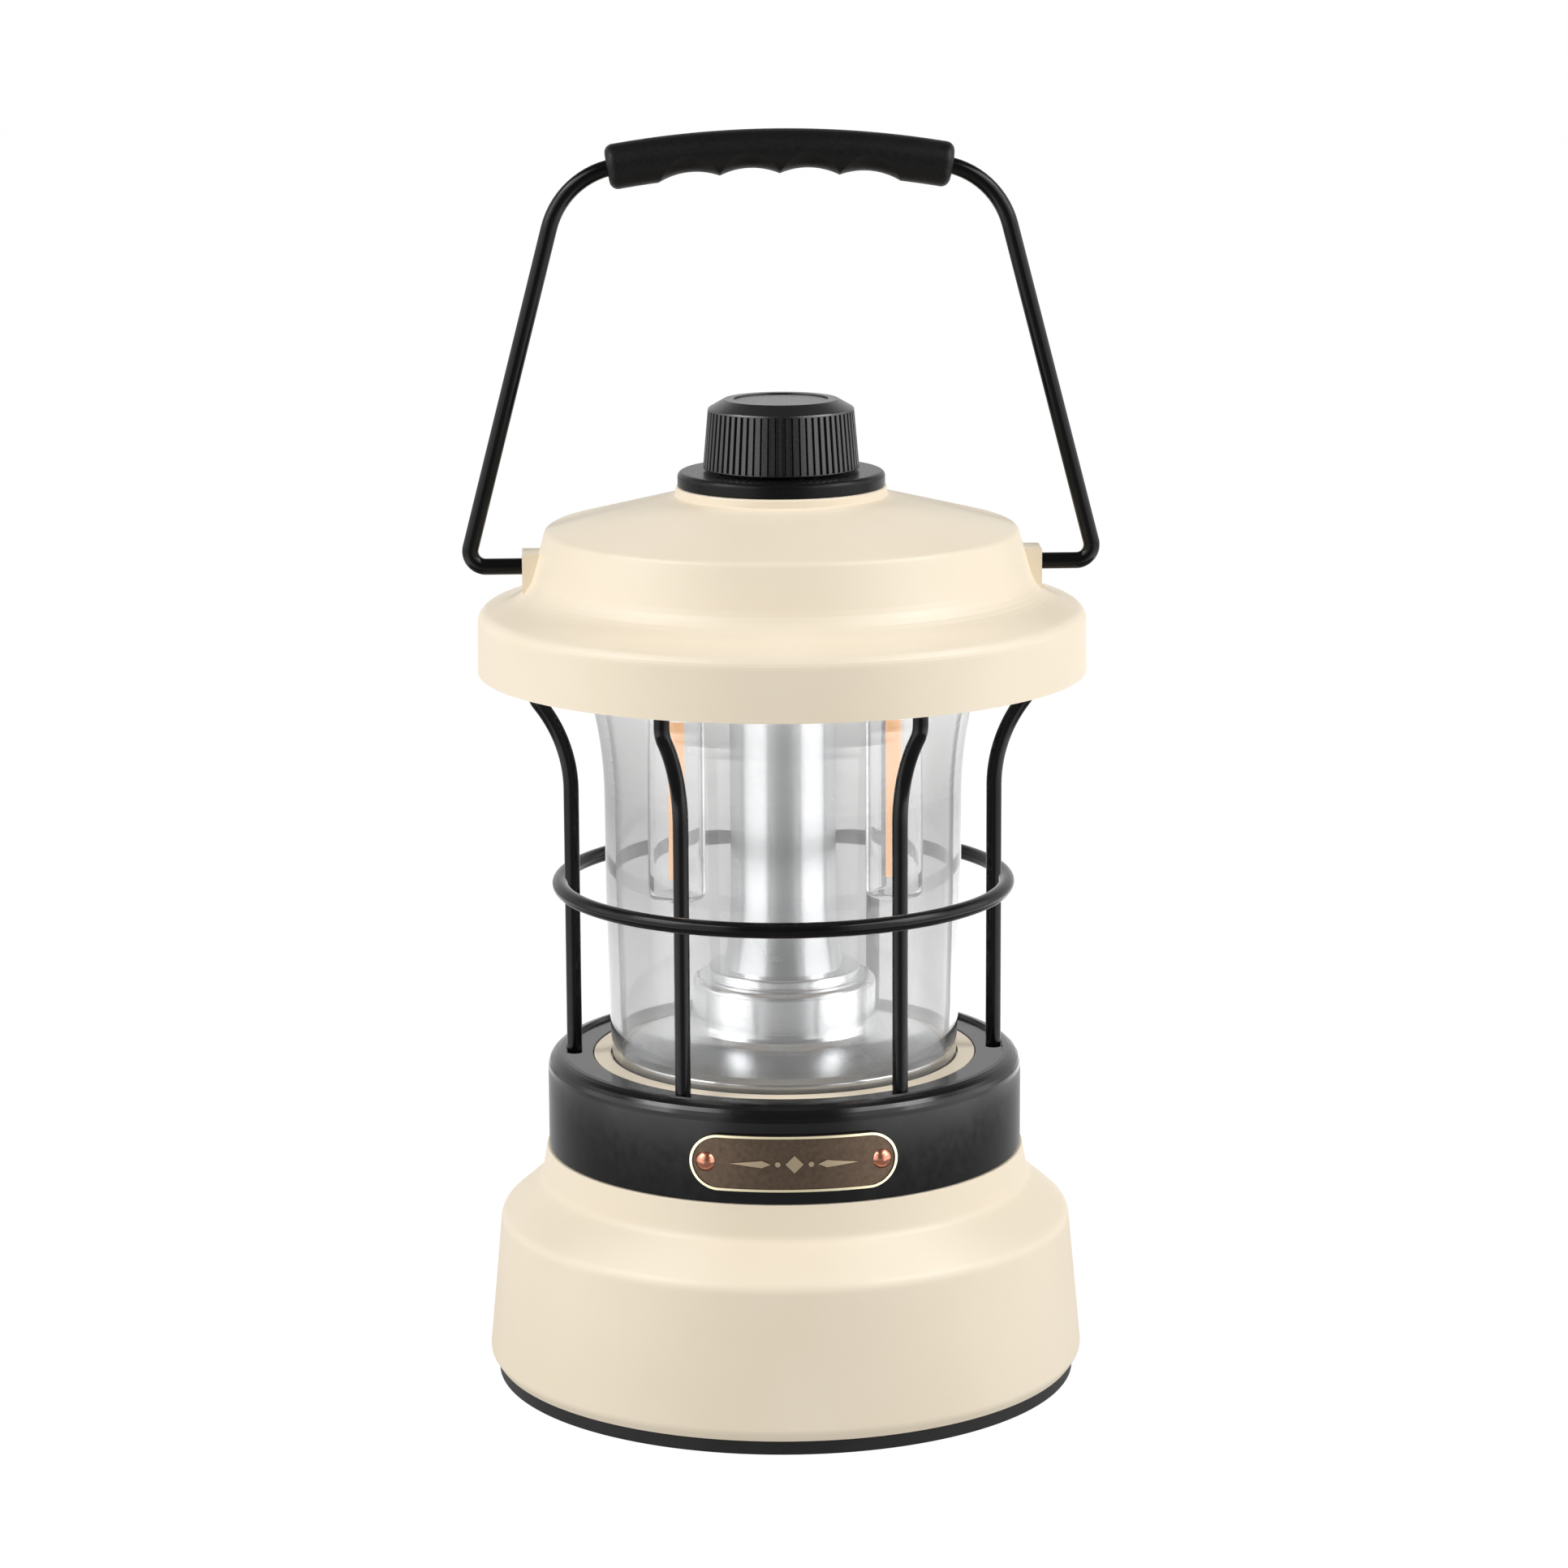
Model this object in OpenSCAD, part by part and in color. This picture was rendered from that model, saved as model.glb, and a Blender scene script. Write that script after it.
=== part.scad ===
// Camping lantern table lamp: cream base and cap, black band, wire cage, clear globe,
// dimmer knob on the cap and a wire bail with a moulded grip.
// Millimetres. Z up from the table, the lamp's axis is Z and the name plate faces -Y.

/* [Foot] */
// How far the foot ring sits in from the lower edge of the base
foot_inset = 0.4; // [0.2:0.1:3]
// Height of the foot ring
foot_h = 3.1; // [2.6:0.1:6]
// Width of the foot ring's flat face
foot_w = 10.5; // [8:0.5:11.5]
// Rounding of the foot ring's outer edge
foot_round = 0.5; // [0.2:0.1:1.2]
// Thickness of the bottom cover
cover_t = 2.2; // [1.6:0.1:3]

/* [Base] */
// Widest radius of the base, just over its foot
base_r = 63.05; // [62:0.05:72]
// How far the lower edge of the base is drawn in
base_bevel = 1.4; // [0.8:0.05:2.5]
// Height of that drawn-in edge
base_bevel_h = 2; // [1.2:0.1:4]
// Height of the tapered wall, foot ring to shoulder
base_h = 31.7; // [28:0.1:50]
// How much narrower the wall is at the shoulder than at its widest
base_taper = 2.8; // [0:0.1:4]
// Rounding of the shoulder
shoulder_round = 3.5; // [0.5:0.5:6]
// Height of the cone from the shoulder to the neck
cone_h = 7.5; // [6:0.1:16]
// Radius of the neck, at the top of the cone
neck_r = 50.4; // [50:0.1:54]
// Height of the neck under the band
neck_h = 7; // [3:0.1:10]
// Wall of the base
base_wall = 2.2; // [1.6:0.1:2.8]

/* [Band] */
// Height of the band
band_h = 20.5; // [18:0.1:30]
// How far the band's face sits in from the neck
band_inset = 0.45; // [0.2:0.05:1.2]
// Wall of the band
band_wall = 2.45; // [1.8:0.05:3]
// Rounding of the band's top edge
band_round = 3.5; // [1:0.1:3.6]
// Depth of the channel in the band's top
channel_d = 0.8; // [0.3:0.1:1.4]
// Thickness of the channel's floor
channel_t = 2.1; // [1.6:0.1:3]

/* [Name plate] */
// Width of the name plate, straight across
plate_w = 42.3; // [41.6:0.1:48]
// Height of the name plate
plate_h = 11.6; // [9:0.1:13]
// Thickness of the name plate's field
plate_t = 0.7; // [0.5:0.1:1.2]
// Width of the raised edge round the name plate
plate_rim = 0.5; // [0.4:0.05:1]
// Height of that edge, and of the ornament, over the field
plate_relief = 0.35; // [0.2:0.05:0.6]
// Distance between the two rivets
rivet_span = 36; // [28:0.1:37]
// Diameter of a rivet's head
rivet_d = 4.1; // [3:0.1:4.4]

/* [Globe] */
// Width of the deck ring, the flat cream ring round the globe's foot
deck_ring_w = 3.65; // [3:0.05:4]
// Width of the lip at the globe's foot
flange_w = 0.3; // [0.2:0.1:0.8]
// Height of that lip
flange_t = 1.2; // [0.8:0.1:1.4]
// Wall of the globe
globe_wall = 2.1; // [1.5:0.1:2.6]
// How much wider the globe is at mid height than at its foot
globe_swell = 1.1; // [0:0.1:2]
// Height over the deck at which the globe starts to flare
flare_z = 57.1; // [40:0.1:62]
// Radius of the globe's flare, in section
flare_r = 88; // [80:1:140]
// Clear height from the band to the head plate
window_h = 82.2; // [76:0.1:110]

/* [Cage] */
// Diameter of the cage wire
wire_d = 3.2; // [2.4:0.1:3.4]
// Distance from the band's face to the axis of an upright
cage_inset = 5.6; // [5.5:0.05:6.4]
// Width of the channel floor between an upright and the deck ring
land_w = 2.5; // [1.5:0.1:3]
// Height of the cage ring over the band
ring_h = 35.9; // [10:0.1:50]
// How deep each upright is let into the cage ring
ring_sink = 0.6; // [0.2:0.1:1]
// Height over the band at which an upright starts to lean out
lean_h = 55.7; // [51:0.1:58]
// Radius of that bend
lean_r = 30; // [24:1:32]
// Angle of the lean
lean_a = 38; // [20:1:40]
// Radius of the bend back to upright, under the cap
return_r = 5; // [4:0.5:6]
// Depth of an upright's socket in the deck
socket_d = 9; // [6:0.5:11]

/* [Reflector] */
// Radius of the reflector column
column_r = 11.05; // [9:0.05:12]
// Radius of the column at its foot
column_foot_r = 12.6; // [12.2:0.1:14]
// Height of the column's flared foot
column_flare_h = 16.5; // [8:0.5:30]
// Wall of the column
column_wall = 1; // [0.8:0.1:1.4]
// Radius of the collar that the column stands on
collar_r = 16; // [15:0.1:17]
// Height of the collar
collar_h = 2.2; // [1:0.1:4]
// Radius of the pedestal
pedestal_r = 19.3; // [18.5:0.1:21]
// Height of the pedestal's wall
pedestal_h = 10.9; // [8:0.1:14]
// Rounding between the pedestal's wall and the skirt
pedestal_foot_round = 4; // [2:0.1:5]
// Width of the skirt's turned-down edge
skirt_edge_w = 1.4; // [1:0.1:2]
// Height of the skirt at the pedestal's foot, over the deck
skirt_h = 7.8; // [7:0.1:10]
// Height of the reflector's outer edge over the deck
reflector_edge_h = 3.3; // [2.4:0.1:3.8]
// Thickness of the reflector's skin
reflector_t = 1.2; // [1:0.1:1.5]

/* [Light tubes] */
// Diameter of a light tube
tube_d = 11.6; // [9:0.1:12.4]
// Wall of a light tube
tube_wall = 0.9; // [0.6:0.1:1.2]
// Distance from the lamp's axis to a light tube's axis
tube_pos = 25.7; // [24.5:0.1:26.5]
// How far the light tubes hang below the head plate
tube_drop = 47; // [20:0.5:60]
// Diameter of a filament
filament_d = 3.3; // [1.5:0.1:4]
// Height of the filament's end over the bottom of its tube
filament_lift = 4.3; // [2:0.1:10]
// Height of a tube's socket
holder_h = 8; // [5:0.5:12]

/* [Head] */
// Thickness of the head plate
head_t = 2.4; // [2:0.1:4]
// Thickness of the head plate's outer ring
head_ring_t = 5; // [4.4:0.1:8]
// How far the brim hangs below the head plate
brim_drop = 0.9; // [0:0.1:3]
// Radius of the driver board
driver_r = 36; // [34:0.5:38]
// Height of the driver board over the head plate
driver_lift = 3; // [2:0.1:6]

/* [Cap] */
// Radius of the cap's brim
brim_r = 63.35; // [62.5:0.05:68]
// Height of the brim's skirt
brim_h = 12.6; // [11:0.1:20]
// Rounding of the brim's edge
brim_round = 3; // [1:0.1:5]
// Height of the brim's sloping top
slope_h = 3.85; // [2:0.05:6]
// Radius of the crown at its foot
crown_foot_r = 52.75; // [52:0.05:55]
// Hollow rounding at the foot of the crown
crown_blend = 8; // [3:0.5:9]
// Radius of the crown at its top
crown_r = 49; // [46:0.05:50.5]
// Height of the crown
crown_h = 13.1; // [12:0.1:20]
// Rounding of the crown's top edge
crown_round = 1.5; // [0.5:0.1:4]
// Height of the dome
dome_h = 6.85; // [4:0.05:12]
// Radius of the raised seat under the knob's bezel
seat_r = 21.9; // [19:0.1:24]
// Height of that seat
seat_h = 1.9; // [1:0.1:4]
// Wall of the cap
cap_wall = 2.2; // [1.8:0.1:2.6]

/* [Bail ears] */
// Distance from the lamp's axis to the outer face of an ear
ear_x = 53.8; // [53:0.1:56]
// Width of an ear
ear_w = 9; // [7:0.5:14]
// Height of an ear's top over the pivot
ear_rise = 3.1; // [2.8:0.1:4]
// Height of the pivot over the foot of the crown
pivot_h = 5.45; // [4.5:0.05:8]

/* [Knob] */
// How far the bezel's edge sits in from its seat
bezel_inset = 0.4; // [0:0.1:2]
// Height of the bezel
bezel_h = 3.1; // [2.6:0.1:5]
// Rounding of the bezel's edge
bezel_round = 1.1; // [0.4:0.1:1.4]
// Radius of the knob at its foot
knob_r = 16.2; // [13:0.1:18]
// How much narrower the knob is at the top of its ribs
knob_taper = 1.1; // [0:0.1:2]
// Height of the knob's ribbed side
knob_side_h = 12.5; // [11:0.1:18]
// Height of the knob's sloping top edge
knob_edge_h = 1.9; // [1:0.1:3]
// Radius of the knob's flat top
knob_face_r = 11.8; // [8:0.1:12.2]
// Number of ribs on the knob
rib_count = 64; // [24:1:72]
// Depth of the grooves between the ribs
rib_d = 0.6; // [0.3:0.05:1]
// Diameter of the dimmer's shaft
shaft_d = 6; // [5:0.1:6.4]
// Diameter of the dimmer's threaded bush
bush_d = 9; // [8.6:0.1:9.6]
// Height of the dimmer's body
dimmer_h = 9; // [6:0.5:11]

/* [Bail] */
// Diameter of the bail's wire
bail_d = 3.4; // [2.6:0.1:3.8]
// How far outside the brim the bail's legs meet the pivot axis
bail_side = 2.1; // [1.9:0.1:6]
// Lean of the bail's legs
bail_lean = 14.6; // [6:0.1:15]
// Height of the bail's top over the pivot
bail_rise = 85.1; // [76:0.1:120]
// Radius of the bend from the pins to the legs
bail_corner_r = 3.2; // [2.4:0.1:3.3]
// Radius of the bend from the legs to the arch
bail_shoulder_r = 17; // [12:0.5:22]
// Radius of the arch inside the grip
arch_r = 200; // [140:0.5:260]
// Length of a pin inside its ear
pin_len = 6.5; // [5.5:0.1:8]

/* [Grip] */
// Length of the grip, straight across
grip_len = 70.6; // [60:0.2:72]
// Diameter of the grip
grip_d = 9.3; // [8.4:0.1:12]
// Rounding of the grip's ends
grip_round = 1.8; // [0.6:0.1:2.4]
// Distance between the finger scoops
scoop_pitch = 12.5; // [9:0.1:14]
// Depth of the finger scoops
scoop_d = 1.4; // [0.4:0.05:1.6]

/* [Power] */
// Diameter of a battery cell
cell_d = 18.4; // [14:0.1:19]
// Length of a battery cell
cell_len = 65; // [50:0.5:66]
// Distance between the two cells
cell_gap = 1.6; // [1:0.1:3]
// Wall of the battery tray
tray_wall = 1.6; // [1.2:0.1:2]
// Height of the charging socket's centre over the foot ring
port_h = 18.4; // [17.5:0.1:20]
// Width of the charging socket's shell
port_w = 8.94; // [8:0.02:10]
// Height of the charging socket's shell
port_t = 3.26; // [3:0.02:3.6]
// Length of the charging socket
port_len = 7.4; // [6.5:0.1:9]
// Width of the charging board
board_w = 26; // [24:0.5:30]
// Thickness of the circuit boards
board_t = 1.6; // [1:0.1:2]
// Diameter of the lead that runs up to the head
lead_d = 3.4; // [2.4:0.1:4]

/* [Screws] */
// Diameter of a large screw
screw_d = 2.9; // [2.5:0.1:3.1]
// Diameter of a small screw
small_screw_d = 2.2; // [1.8:0.1:2.4]
// Radius of a screw post
post_r = 3.5; // [3:0.1:3.6]

/* [Fits] */
// Gap round the bail's pins and the dimmer's shaft
running_gap = 0.08; // [0.03:0.01:0.1]
// Gap round a piece that is fixed in its seat
seat_gap = 0.05; // [0.02:0.01:0.1]
// Gap between covers that slip into each other
slip_gap = 0.2; // [0.1:0.05:0.3]
// Gap between the knob and its bezel
knob_gap = 0.5; // [0.3:0.1:0.8]

/* [Hidden] */

// Roundness of turned pieces, of wires and small pieces, and steps in a rounded corner
turned_fn = 144;
small_fn = 40;
corner_steps = 6;
// Overlap of pieces that are joined into one solid, and overshoot of a cut
join = 0.5;

// Heights, from the table up
shell_z = foot_h;
shoulder_z = shell_z + base_h;
neck_z = shoulder_z + cone_h;
band_z = neck_z + neck_h;
band_top_z = band_z + band_h;
channel_z = band_top_z - channel_d;
deck_z = channel_z - channel_t;
ring_z = band_top_z + ring_h;
head_z = band_top_z + window_h;
brim_z = head_z - brim_drop;
crown_z = brim_z + brim_h + slope_h;
pivot_z = crown_z + pivot_h;
crown_top_z = crown_z + crown_h;
seat_z = crown_top_z + dome_h;
seat_top_z = seat_z + seat_h;
bezel_top_z = seat_top_z + bezel_h;
knob_z = bezel_top_z + knob_gap;
knob_side_z = knob_z + knob_side_h;
knob_top_z = knob_side_z + knob_edge_h;

// Radii, from the band inwards
band_r = neck_r - band_inset;
collar_out_r = band_r - band_wall - slip_gap;
cage_r = band_r - cage_inset;
deck_ring_r = cage_r - wire_d / 2 - land_w;
flange_r = deck_ring_r - deck_ring_w;
globe_foot_r = flange_r - flange_w;
globe_mid_r = globe_foot_r + globe_swell;
globe_bore_r = globe_foot_r - globe_wall;
reflector_r = globe_bore_r - slip_gap;
shell_edge_r = base_r - base_bevel;
cover_r = shell_edge_r - base_wall / cos(atan(base_bevel / base_bevel_h)) - slip_gap;
foot_r = shell_edge_r - foot_inset;

// ---- outlines -------------------------------------------------------------------------

function unit(v) = v / norm(v);
function left_of(d) = [-d.y, d.x];
function flat(p) = [p.x, p.y];
function turn(a, b, c) = cross(unit(flat(b) - flat(a)), unit(flat(c) - flat(b)));

// Points of a corner at b, rounded to its radius b.z, between its neighbours a and c
function rounded_corner(a, b, c) =
    let (
        to_a = unit(flat(a) - flat(b)),
        to_c = unit(flat(c) - flat(b)),
        half = acos(to_a * to_c) / 2,
        centre = flat(b) + unit(to_a + to_c) * b.z / sin(half),
        first = flat(b) + to_a * b.z / tan(half) - centre,
        sweep = (180 - 2 * half) * sign(turn(a, b, c))
    )
    [
        for (i = [0:corner_steps])
            let (s = sweep * i / corner_steps)
            centre + [first.x * cos(s) - first.y * sin(s), first.x * sin(s) + first.y * cos(s)]
    ];

// An open path of corners [r, z, rounding], with its corners rounded
function rounded(path) = [
    for (i = [0:len(path) - 1])
        each i == 0 || i == len(path) - 1 || path[i].z == 0
            ? [flat(path[i])]
            : rounded_corner(path[i - 1], path[i], path[i + 1])
];

// The same path on the inner side of a wall: its ends are cut level, or upright if they lie flat
function inset_end(p, d, wall) =
    let (n = left_of(unit(d)))
    abs(n.x) > abs(n.y) ? [p.x + wall / n.x, p.y, 0] : [p.x, p.y + wall / n.y, 0];
function inset_corner(a, b, c, wall) =
    let (
        n = left_of(unit(flat(b) - flat(a))),
        m = left_of(unit(flat(c) - flat(b))),
        at = flat(b) + (n + m) * wall / (1 + n * m)
    )
    [at.x, at.y, b.z == 0 ? 0 : max(b.z - wall * sign(turn(a, b, c)), 0)];
function inset(path, wall) =
    let (last = len(path) - 1)
    [
        for (i = [0:last])
            i == 0 ? inset_end(path[0], flat(path[1]) - flat(path[0]), wall)
            : i == last ? inset_end(path[last], flat(path[last]) - flat(path[last - 1]), wall)
            : inset_corner(path[i - 1], path[i], path[i + 1], wall)
    ];
function reversed(list) = [for (i = [len(list) - 1:-1:0]) list[i]];

// A turned solid inside a closed outline of corners, and a turned wall behind an outer path
module turned(path) rotate_extrude($fn = turned_fn) polygon(rounded(path));
module turned_wall(path, wall) {
    rotate_extrude($fn = turned_fn) polygon(concat(rounded(path), reversed(rounded(inset(path, wall)))));
}
module turned_ring(inner, outer, z, h) {
    translate([0, 0, z]) difference() {
        cylinder(h = h, r = outer, $fn = turned_fn);
        translate([0, 0, -join]) cylinder(h = h + 2 * join, r = inner, $fn = turned_fn);
    }
}

// ---- shared forms ---------------------------------------------------------------------

module rod(z, h, r, fn = small_fn) translate([0, 0, z]) cylinder(h = h, r = r, $fn = fn);
module around(count, start, r) {
    for (i = [0:count - 1]) rotate([0, 0, start + 360 / count * i]) translate([r, 0, 0]) children();
}

// A wire bent in one plane: from the origin along +Z, each step [length, bend radius, angle]
// runs straight and then bends towards +X, or towards -X where the angle is negative.
// Runs and bends stop a hair short of each other, and a bead a hair wider than the wire joins them.
bead_gap = 0.05;
bead_rise = 0.01;

module bead(d) sphere(d = d + 2 * bead_rise, $fn = small_fn);
module arc_wire(radius, first, last, d) {
    gap = bead_gap / radius * 180 / PI;
    rotate([90, -first - gap, 0]) rotate_extrude(angle = last - first - 2 * gap, $fn = turned_fn)
        translate([radius, 0]) circle(d = d, $fn = small_fn);
}
module bent_wire(steps, d, i = 0) {
    if (i < len(steps)) {
        run = steps[i][0];
        radius = steps[i][1];
        angle = steps[i][2];
        from = i == 0 ? 0 : bead_gap;
        to = radius == 0 ? run : run - bead_gap;
        if (run > 0) rod(from, to - from, d / 2);
        if (radius > 0) translate([0, 0, run]) {
            bead(d);
            mirror([angle < 0 ? 1 : 0, 0, 0]) translate([radius, 0, 0])
                arc_wire(radius, 180 - abs(angle), 180, d);
            translate([sign(angle) * radius * (1 - cos(angle)), 0, radius * sin(abs(angle))])
                rotate([0, angle, 0]) {
                    bead(d);
                    bent_wire(steps, d, i + 1);
                }
        }
    }
}

// A pan-head screw with its head's seat at z = 0 and its shank upwards
head_ratio = 1.9;
head_flat = 0.6;
slot_w = 0.7;
module screw(d, length) {
    difference() {
        union() {
            rod(-d * head_flat, d * head_flat, d * head_ratio / 2);
            rod(0, length, d / 2);
        }
        for (a = [0, 90]) rotate([0, 0, a])
            translate([-d * head_ratio / 3, -slot_w / 2, -d * head_flat - join])
                cube([d * head_ratio / 1.5, slot_w, d * head_flat / 2 + join]);
    }
}
module screw_hole(d, length) rod(-join, length + join + seat_gap * 4, d / 2 + seat_gap);

// ---- foot and base --------------------------------------------------------------------

// The cover's screws stand clear of the foot ring by their heads
foot_screw_clear = 2;
foot_screw_pos = foot_r - foot_w - screw_d * head_ratio / 2 - foot_screw_clear;
foot_screw_len = 11;

module at_foot_screws() around(4, 45, foot_screw_pos) children();

module foot_ring() color("#262627") turned([
    [foot_r - foot_w, 0, 0],
    [foot_r, 0, foot_round],
    [foot_r, foot_h, 0],
    [foot_r - foot_w, foot_h, 0],
    [foot_r - foot_w, 0, 0]
]);

tray_z = shell_z + cover_t;
board_z = shell_z + port_h - port_t / 2 - board_t;
board_hole_x = board_w / 2 - 3.6;
board_hole_y = 35;
board_post_r = 2.6;

module at_board_screws() {
    for (x = [-1, 1]) translate([x * board_hole_x, board_hole_y, board_z]) children();
}

module bottom_cover() color("#2b2b2c") difference() {
    union() {
        rod(shell_z, cover_t, cover_r, turned_fn);
        at_board_screws() translate([0, 0, tray_z - board_z - join])
            cylinder(h = board_z - tray_z + join, r = board_post_r, $fn = small_fn);
    }
    at_foot_screws() rod(shell_z - join, cover_t + 2 * join, screw_d / 2 + slip_gap);
    at_board_screws() mirror([0, 0, 1]) screw_hole(small_screw_d, small_screw_len - board_t);
}

module bottom_screws() color("silver") at_foot_screws()
    translate([0, 0, shell_z]) screw(screw_d, foot_screw_len);

// Hole in the deck for the lead and its plug, and the neck's slight lean and hollow rounding
lead_hole_r = 8;
neck_lean = 1.2;
neck_round = 3;
bevel_round = 2;
// Rounding of an edge that only looks broken
soft_edge = 0.3;
base_path = [
    [shell_edge_r, shell_z, 0],
    [base_r, shell_z + base_bevel_h, bevel_round],
    [base_r - base_taper, shoulder_z, shoulder_round],
    [neck_r + neck_lean, neck_z, neck_round],
    [neck_r, band_z, soft_edge],
    [collar_out_r, band_z, 0],
    [collar_out_r, deck_z, 0],
    [lead_hole_r, deck_z, 0]
];
socket_wall = 1.6;
reflector_screw_pos = 21.6;
reflector_screw_len = 7;

module at_uprights() around(6, 0, cage_r) children();
module at_reflector_screws() around(3, 30, reflector_screw_pos) children();

port_reach = base_r - base_taper * (port_h - base_bevel_h) / (base_h - base_bevel_h);
port_recess = 0.9;
port_margin = 1.2;
light_x = 9;
light_r = 1.1;
light_len = 5;
light_inset = 0.4;
light_z = board_z + board_t + light_r + seat_gap;
deck_ring_drop = 0.15;

module port_outline(margin) {
    r = port_t / 2 + margin;
    for (x = [-1, 1]) translate([x * (port_w / 2 - port_t / 2), 0]) circle(r = r, $fn = small_fn);
    square([port_w - port_t, 2 * r], center = true);
}
module towards_back(y, z) translate([0, y, z]) rotate([-90, 0, 0]) children();

// A gusset ties each screw post to the wall, and both end inside the wall
gusset_t = 1.6;
gusset_z = tray_z + 1;
post_top_z = band_z - base_wall * 0.7;
module base_inside() rotate_extrude($fn = turned_fn) polygon(concat(
    rounded(inset(base_path, base_wall / 2)),
    [[0, deck_z - base_wall / 2], [0, shell_z]]
));

module base_shell() color("#efe2c8") difference() {
    union() {
        turned_wall(base_path, base_wall);
        turned_ring(flange_r + seat_gap * 3, deck_ring_r, deck_z - join, channel_t - deck_ring_drop + join);
        intersection() {
            at_foot_screws() {
                rod(tray_z, post_top_z - tray_z, post_r);
                translate([0, -gusset_t / 2, gusset_z]) cube([base_r, gusset_t, post_top_z - gusset_z]);
            }
            base_inside();
        }
        at_uprights() rod(deck_z - socket_d - socket_wall, socket_d + socket_wall, wire_d / 2 + socket_wall);
    }
    at_foot_screws() translate([0, 0, tray_z]) screw_hole(screw_d, foot_screw_len - cover_t);
    at_uprights() rod(deck_z - socket_d, socket_d + join, wire_d / 2 + seat_gap);
    at_reflector_screws() rod(deck_z - base_wall - join, base_wall + 2 * join, small_screw_d / 2 + slip_gap);
    towards_back(port_reach - base_wall * 3, shell_z + port_h)
        linear_extrude(base_wall * 5) port_outline(slip_gap);
    towards_back(port_reach - port_recess, shell_z + port_h)
        linear_extrude(base_wall * 3) port_outline(port_margin);
    translate([light_x, 0, 0]) towards_back(port_reach - base_wall * 3, light_z)
        cylinder(h = base_wall * 5, r = light_r + seat_gap, $fn = small_fn);
}

// ---- band and name plate --------------------------------------------------------------

channel_r = cage_r + wire_d / 2 + 0.1;
channel_lean = 0.2;

module band() color("#2b2b2d") difference() {
    turned([
        [band_r - band_wall, band_z, 0],
        [band_r, band_z, soft_edge],
        [band_r, band_top_z, band_round],
        [channel_r + channel_lean, band_top_z, soft_edge / 2],
        [channel_r, channel_z, soft_edge / 2],
        [deck_ring_r + slip_gap, channel_z, soft_edge],
        [deck_ring_r + slip_gap, deck_z, 0],
        [band_r - band_wall, deck_z, 0],
        [band_r - band_wall, band_z, 0]
    ]);
    at_uprights() rod(deck_z - join, channel_t + 2 * join, wire_d / 2 + seat_gap);
    at_rivets() rod(-band_wall - join, band_wall + 2 * join, rivet_shank_r + seat_gap);
}

// The plate's middle, a little over the middle of the band's upright face
plate_rise = 0.3;
plate_z = band_z + (band_h - band_round) / 2 + plate_rise;
plate_in_r = band_r + seat_gap;
plate_field_r = plate_in_r + plate_t;
plate_rim_r = plate_field_r + plate_relief;
rivet_shank_r = 1;
rivet_rise = 1.2;
rivet_angle = asin(rivet_span / 2 / plate_field_r);

// A rivet's own frame: the origin on the band's face, +Z outwards
module at_rivets() {
    for (side = [-1, 1]) rotate([0, 0, side * rivet_angle])
        translate([0, -band_r, plate_z]) rotate([90, 0, 0]) children();
}
module pill(w, h) {
    for (x = [-1, 1]) translate([x * (w - h) / 2, 0]) circle(d = h, $fn = turned_fn / 2);
    square([w - h, h], center = true);
}

// A lozenge, and to each side a dot and a bar that tapers both ways and ends short of the rivet
lozenge_w = 2.6;
dot_x = 3.4;
dot_r = 0.55;
bar_x = 4.8;
bar_wide_x = 6.6;
bar_h = 1.5;
bar_end_x = rivet_span / 2 - rivet_d / 2 - 2.8;

module plate_ornament() {
    rotate([0, 0, 45]) square(lozenge_w, center = true);
    for (side = [-1, 1]) {
        translate([side * dot_x, 0]) circle(r = dot_r, $fn = small_fn);
        polygon([
            [side * bar_x, 0],
            [side * bar_wide_x, bar_h / 2],
            [side * bar_end_x, 0],
            [side * bar_wide_x, -bar_h / 2]
        ]);
    }
}
// Part of the tube round the band that lies behind an outline on the plate's face
module wrapped(inner, outer) intersection() {
    turned_ring(inner, outer, band_z, band_h);
    translate([0, 0, plate_z]) rotate([90, 0, 0]) linear_extrude(band_r * 2) children();
}

module name_plate() color("#6b5237") difference() {
    union() {
        wrapped(plate_in_r, plate_field_r) pill(plate_w, plate_h);
        wrapped(plate_in_r, plate_rim_r) difference() {
            pill(plate_w, plate_h);
            pill(plate_w - 2 * plate_rim, plate_h - 2 * plate_rim);
        }
        wrapped(plate_in_r, plate_rim_r) plate_ornament();
    }
    at_rivets() rod(-join, plate_t + plate_relief + 2 * join, rivet_shank_r + seat_gap);
}

module plate_rivets() color("#b06a4a") at_rivets() {
    dome_r = (rivet_d * rivet_d / 4 + rivet_rise * rivet_rise) / (2 * rivet_rise);
    seat = plate_t + seat_gap * 2;
    rod(-band_wall + seat_gap, band_wall + seat, rivet_shank_r);
    translate([0, 0, seat]) intersection() {
        translate([0, 0, rivet_rise - dome_r]) sphere(r = dome_r, $fn = turned_fn / 2);
        cylinder(h = rivet_rise, r = rivet_d, $fn = small_fn);
    }
}

// ---- battery and charging -------------------------------------------------------------

contact_t = 0.4;
contact_inset = 2;
nub_r = 3.2;
nub_len = 0.9;
bay_len = cell_len + nub_len + 2 * contact_t + 4 * seat_gap;
tray_len = bay_len + 2 * tray_wall;
tray_width = 2 * cell_d + cell_gap + 2 * tray_wall;
cell_z = tray_z + tray_wall + cell_d / 2 + seat_gap;
tray_rise = 0.6;
tray_h = board_z + board_t + tray_rise - tray_z;
cell_pos = (cell_d + cell_gap) / 2;

module along_x(length) translate([-length / 2, 0, 0]) rotate([0, 90, 0]) children();

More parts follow.
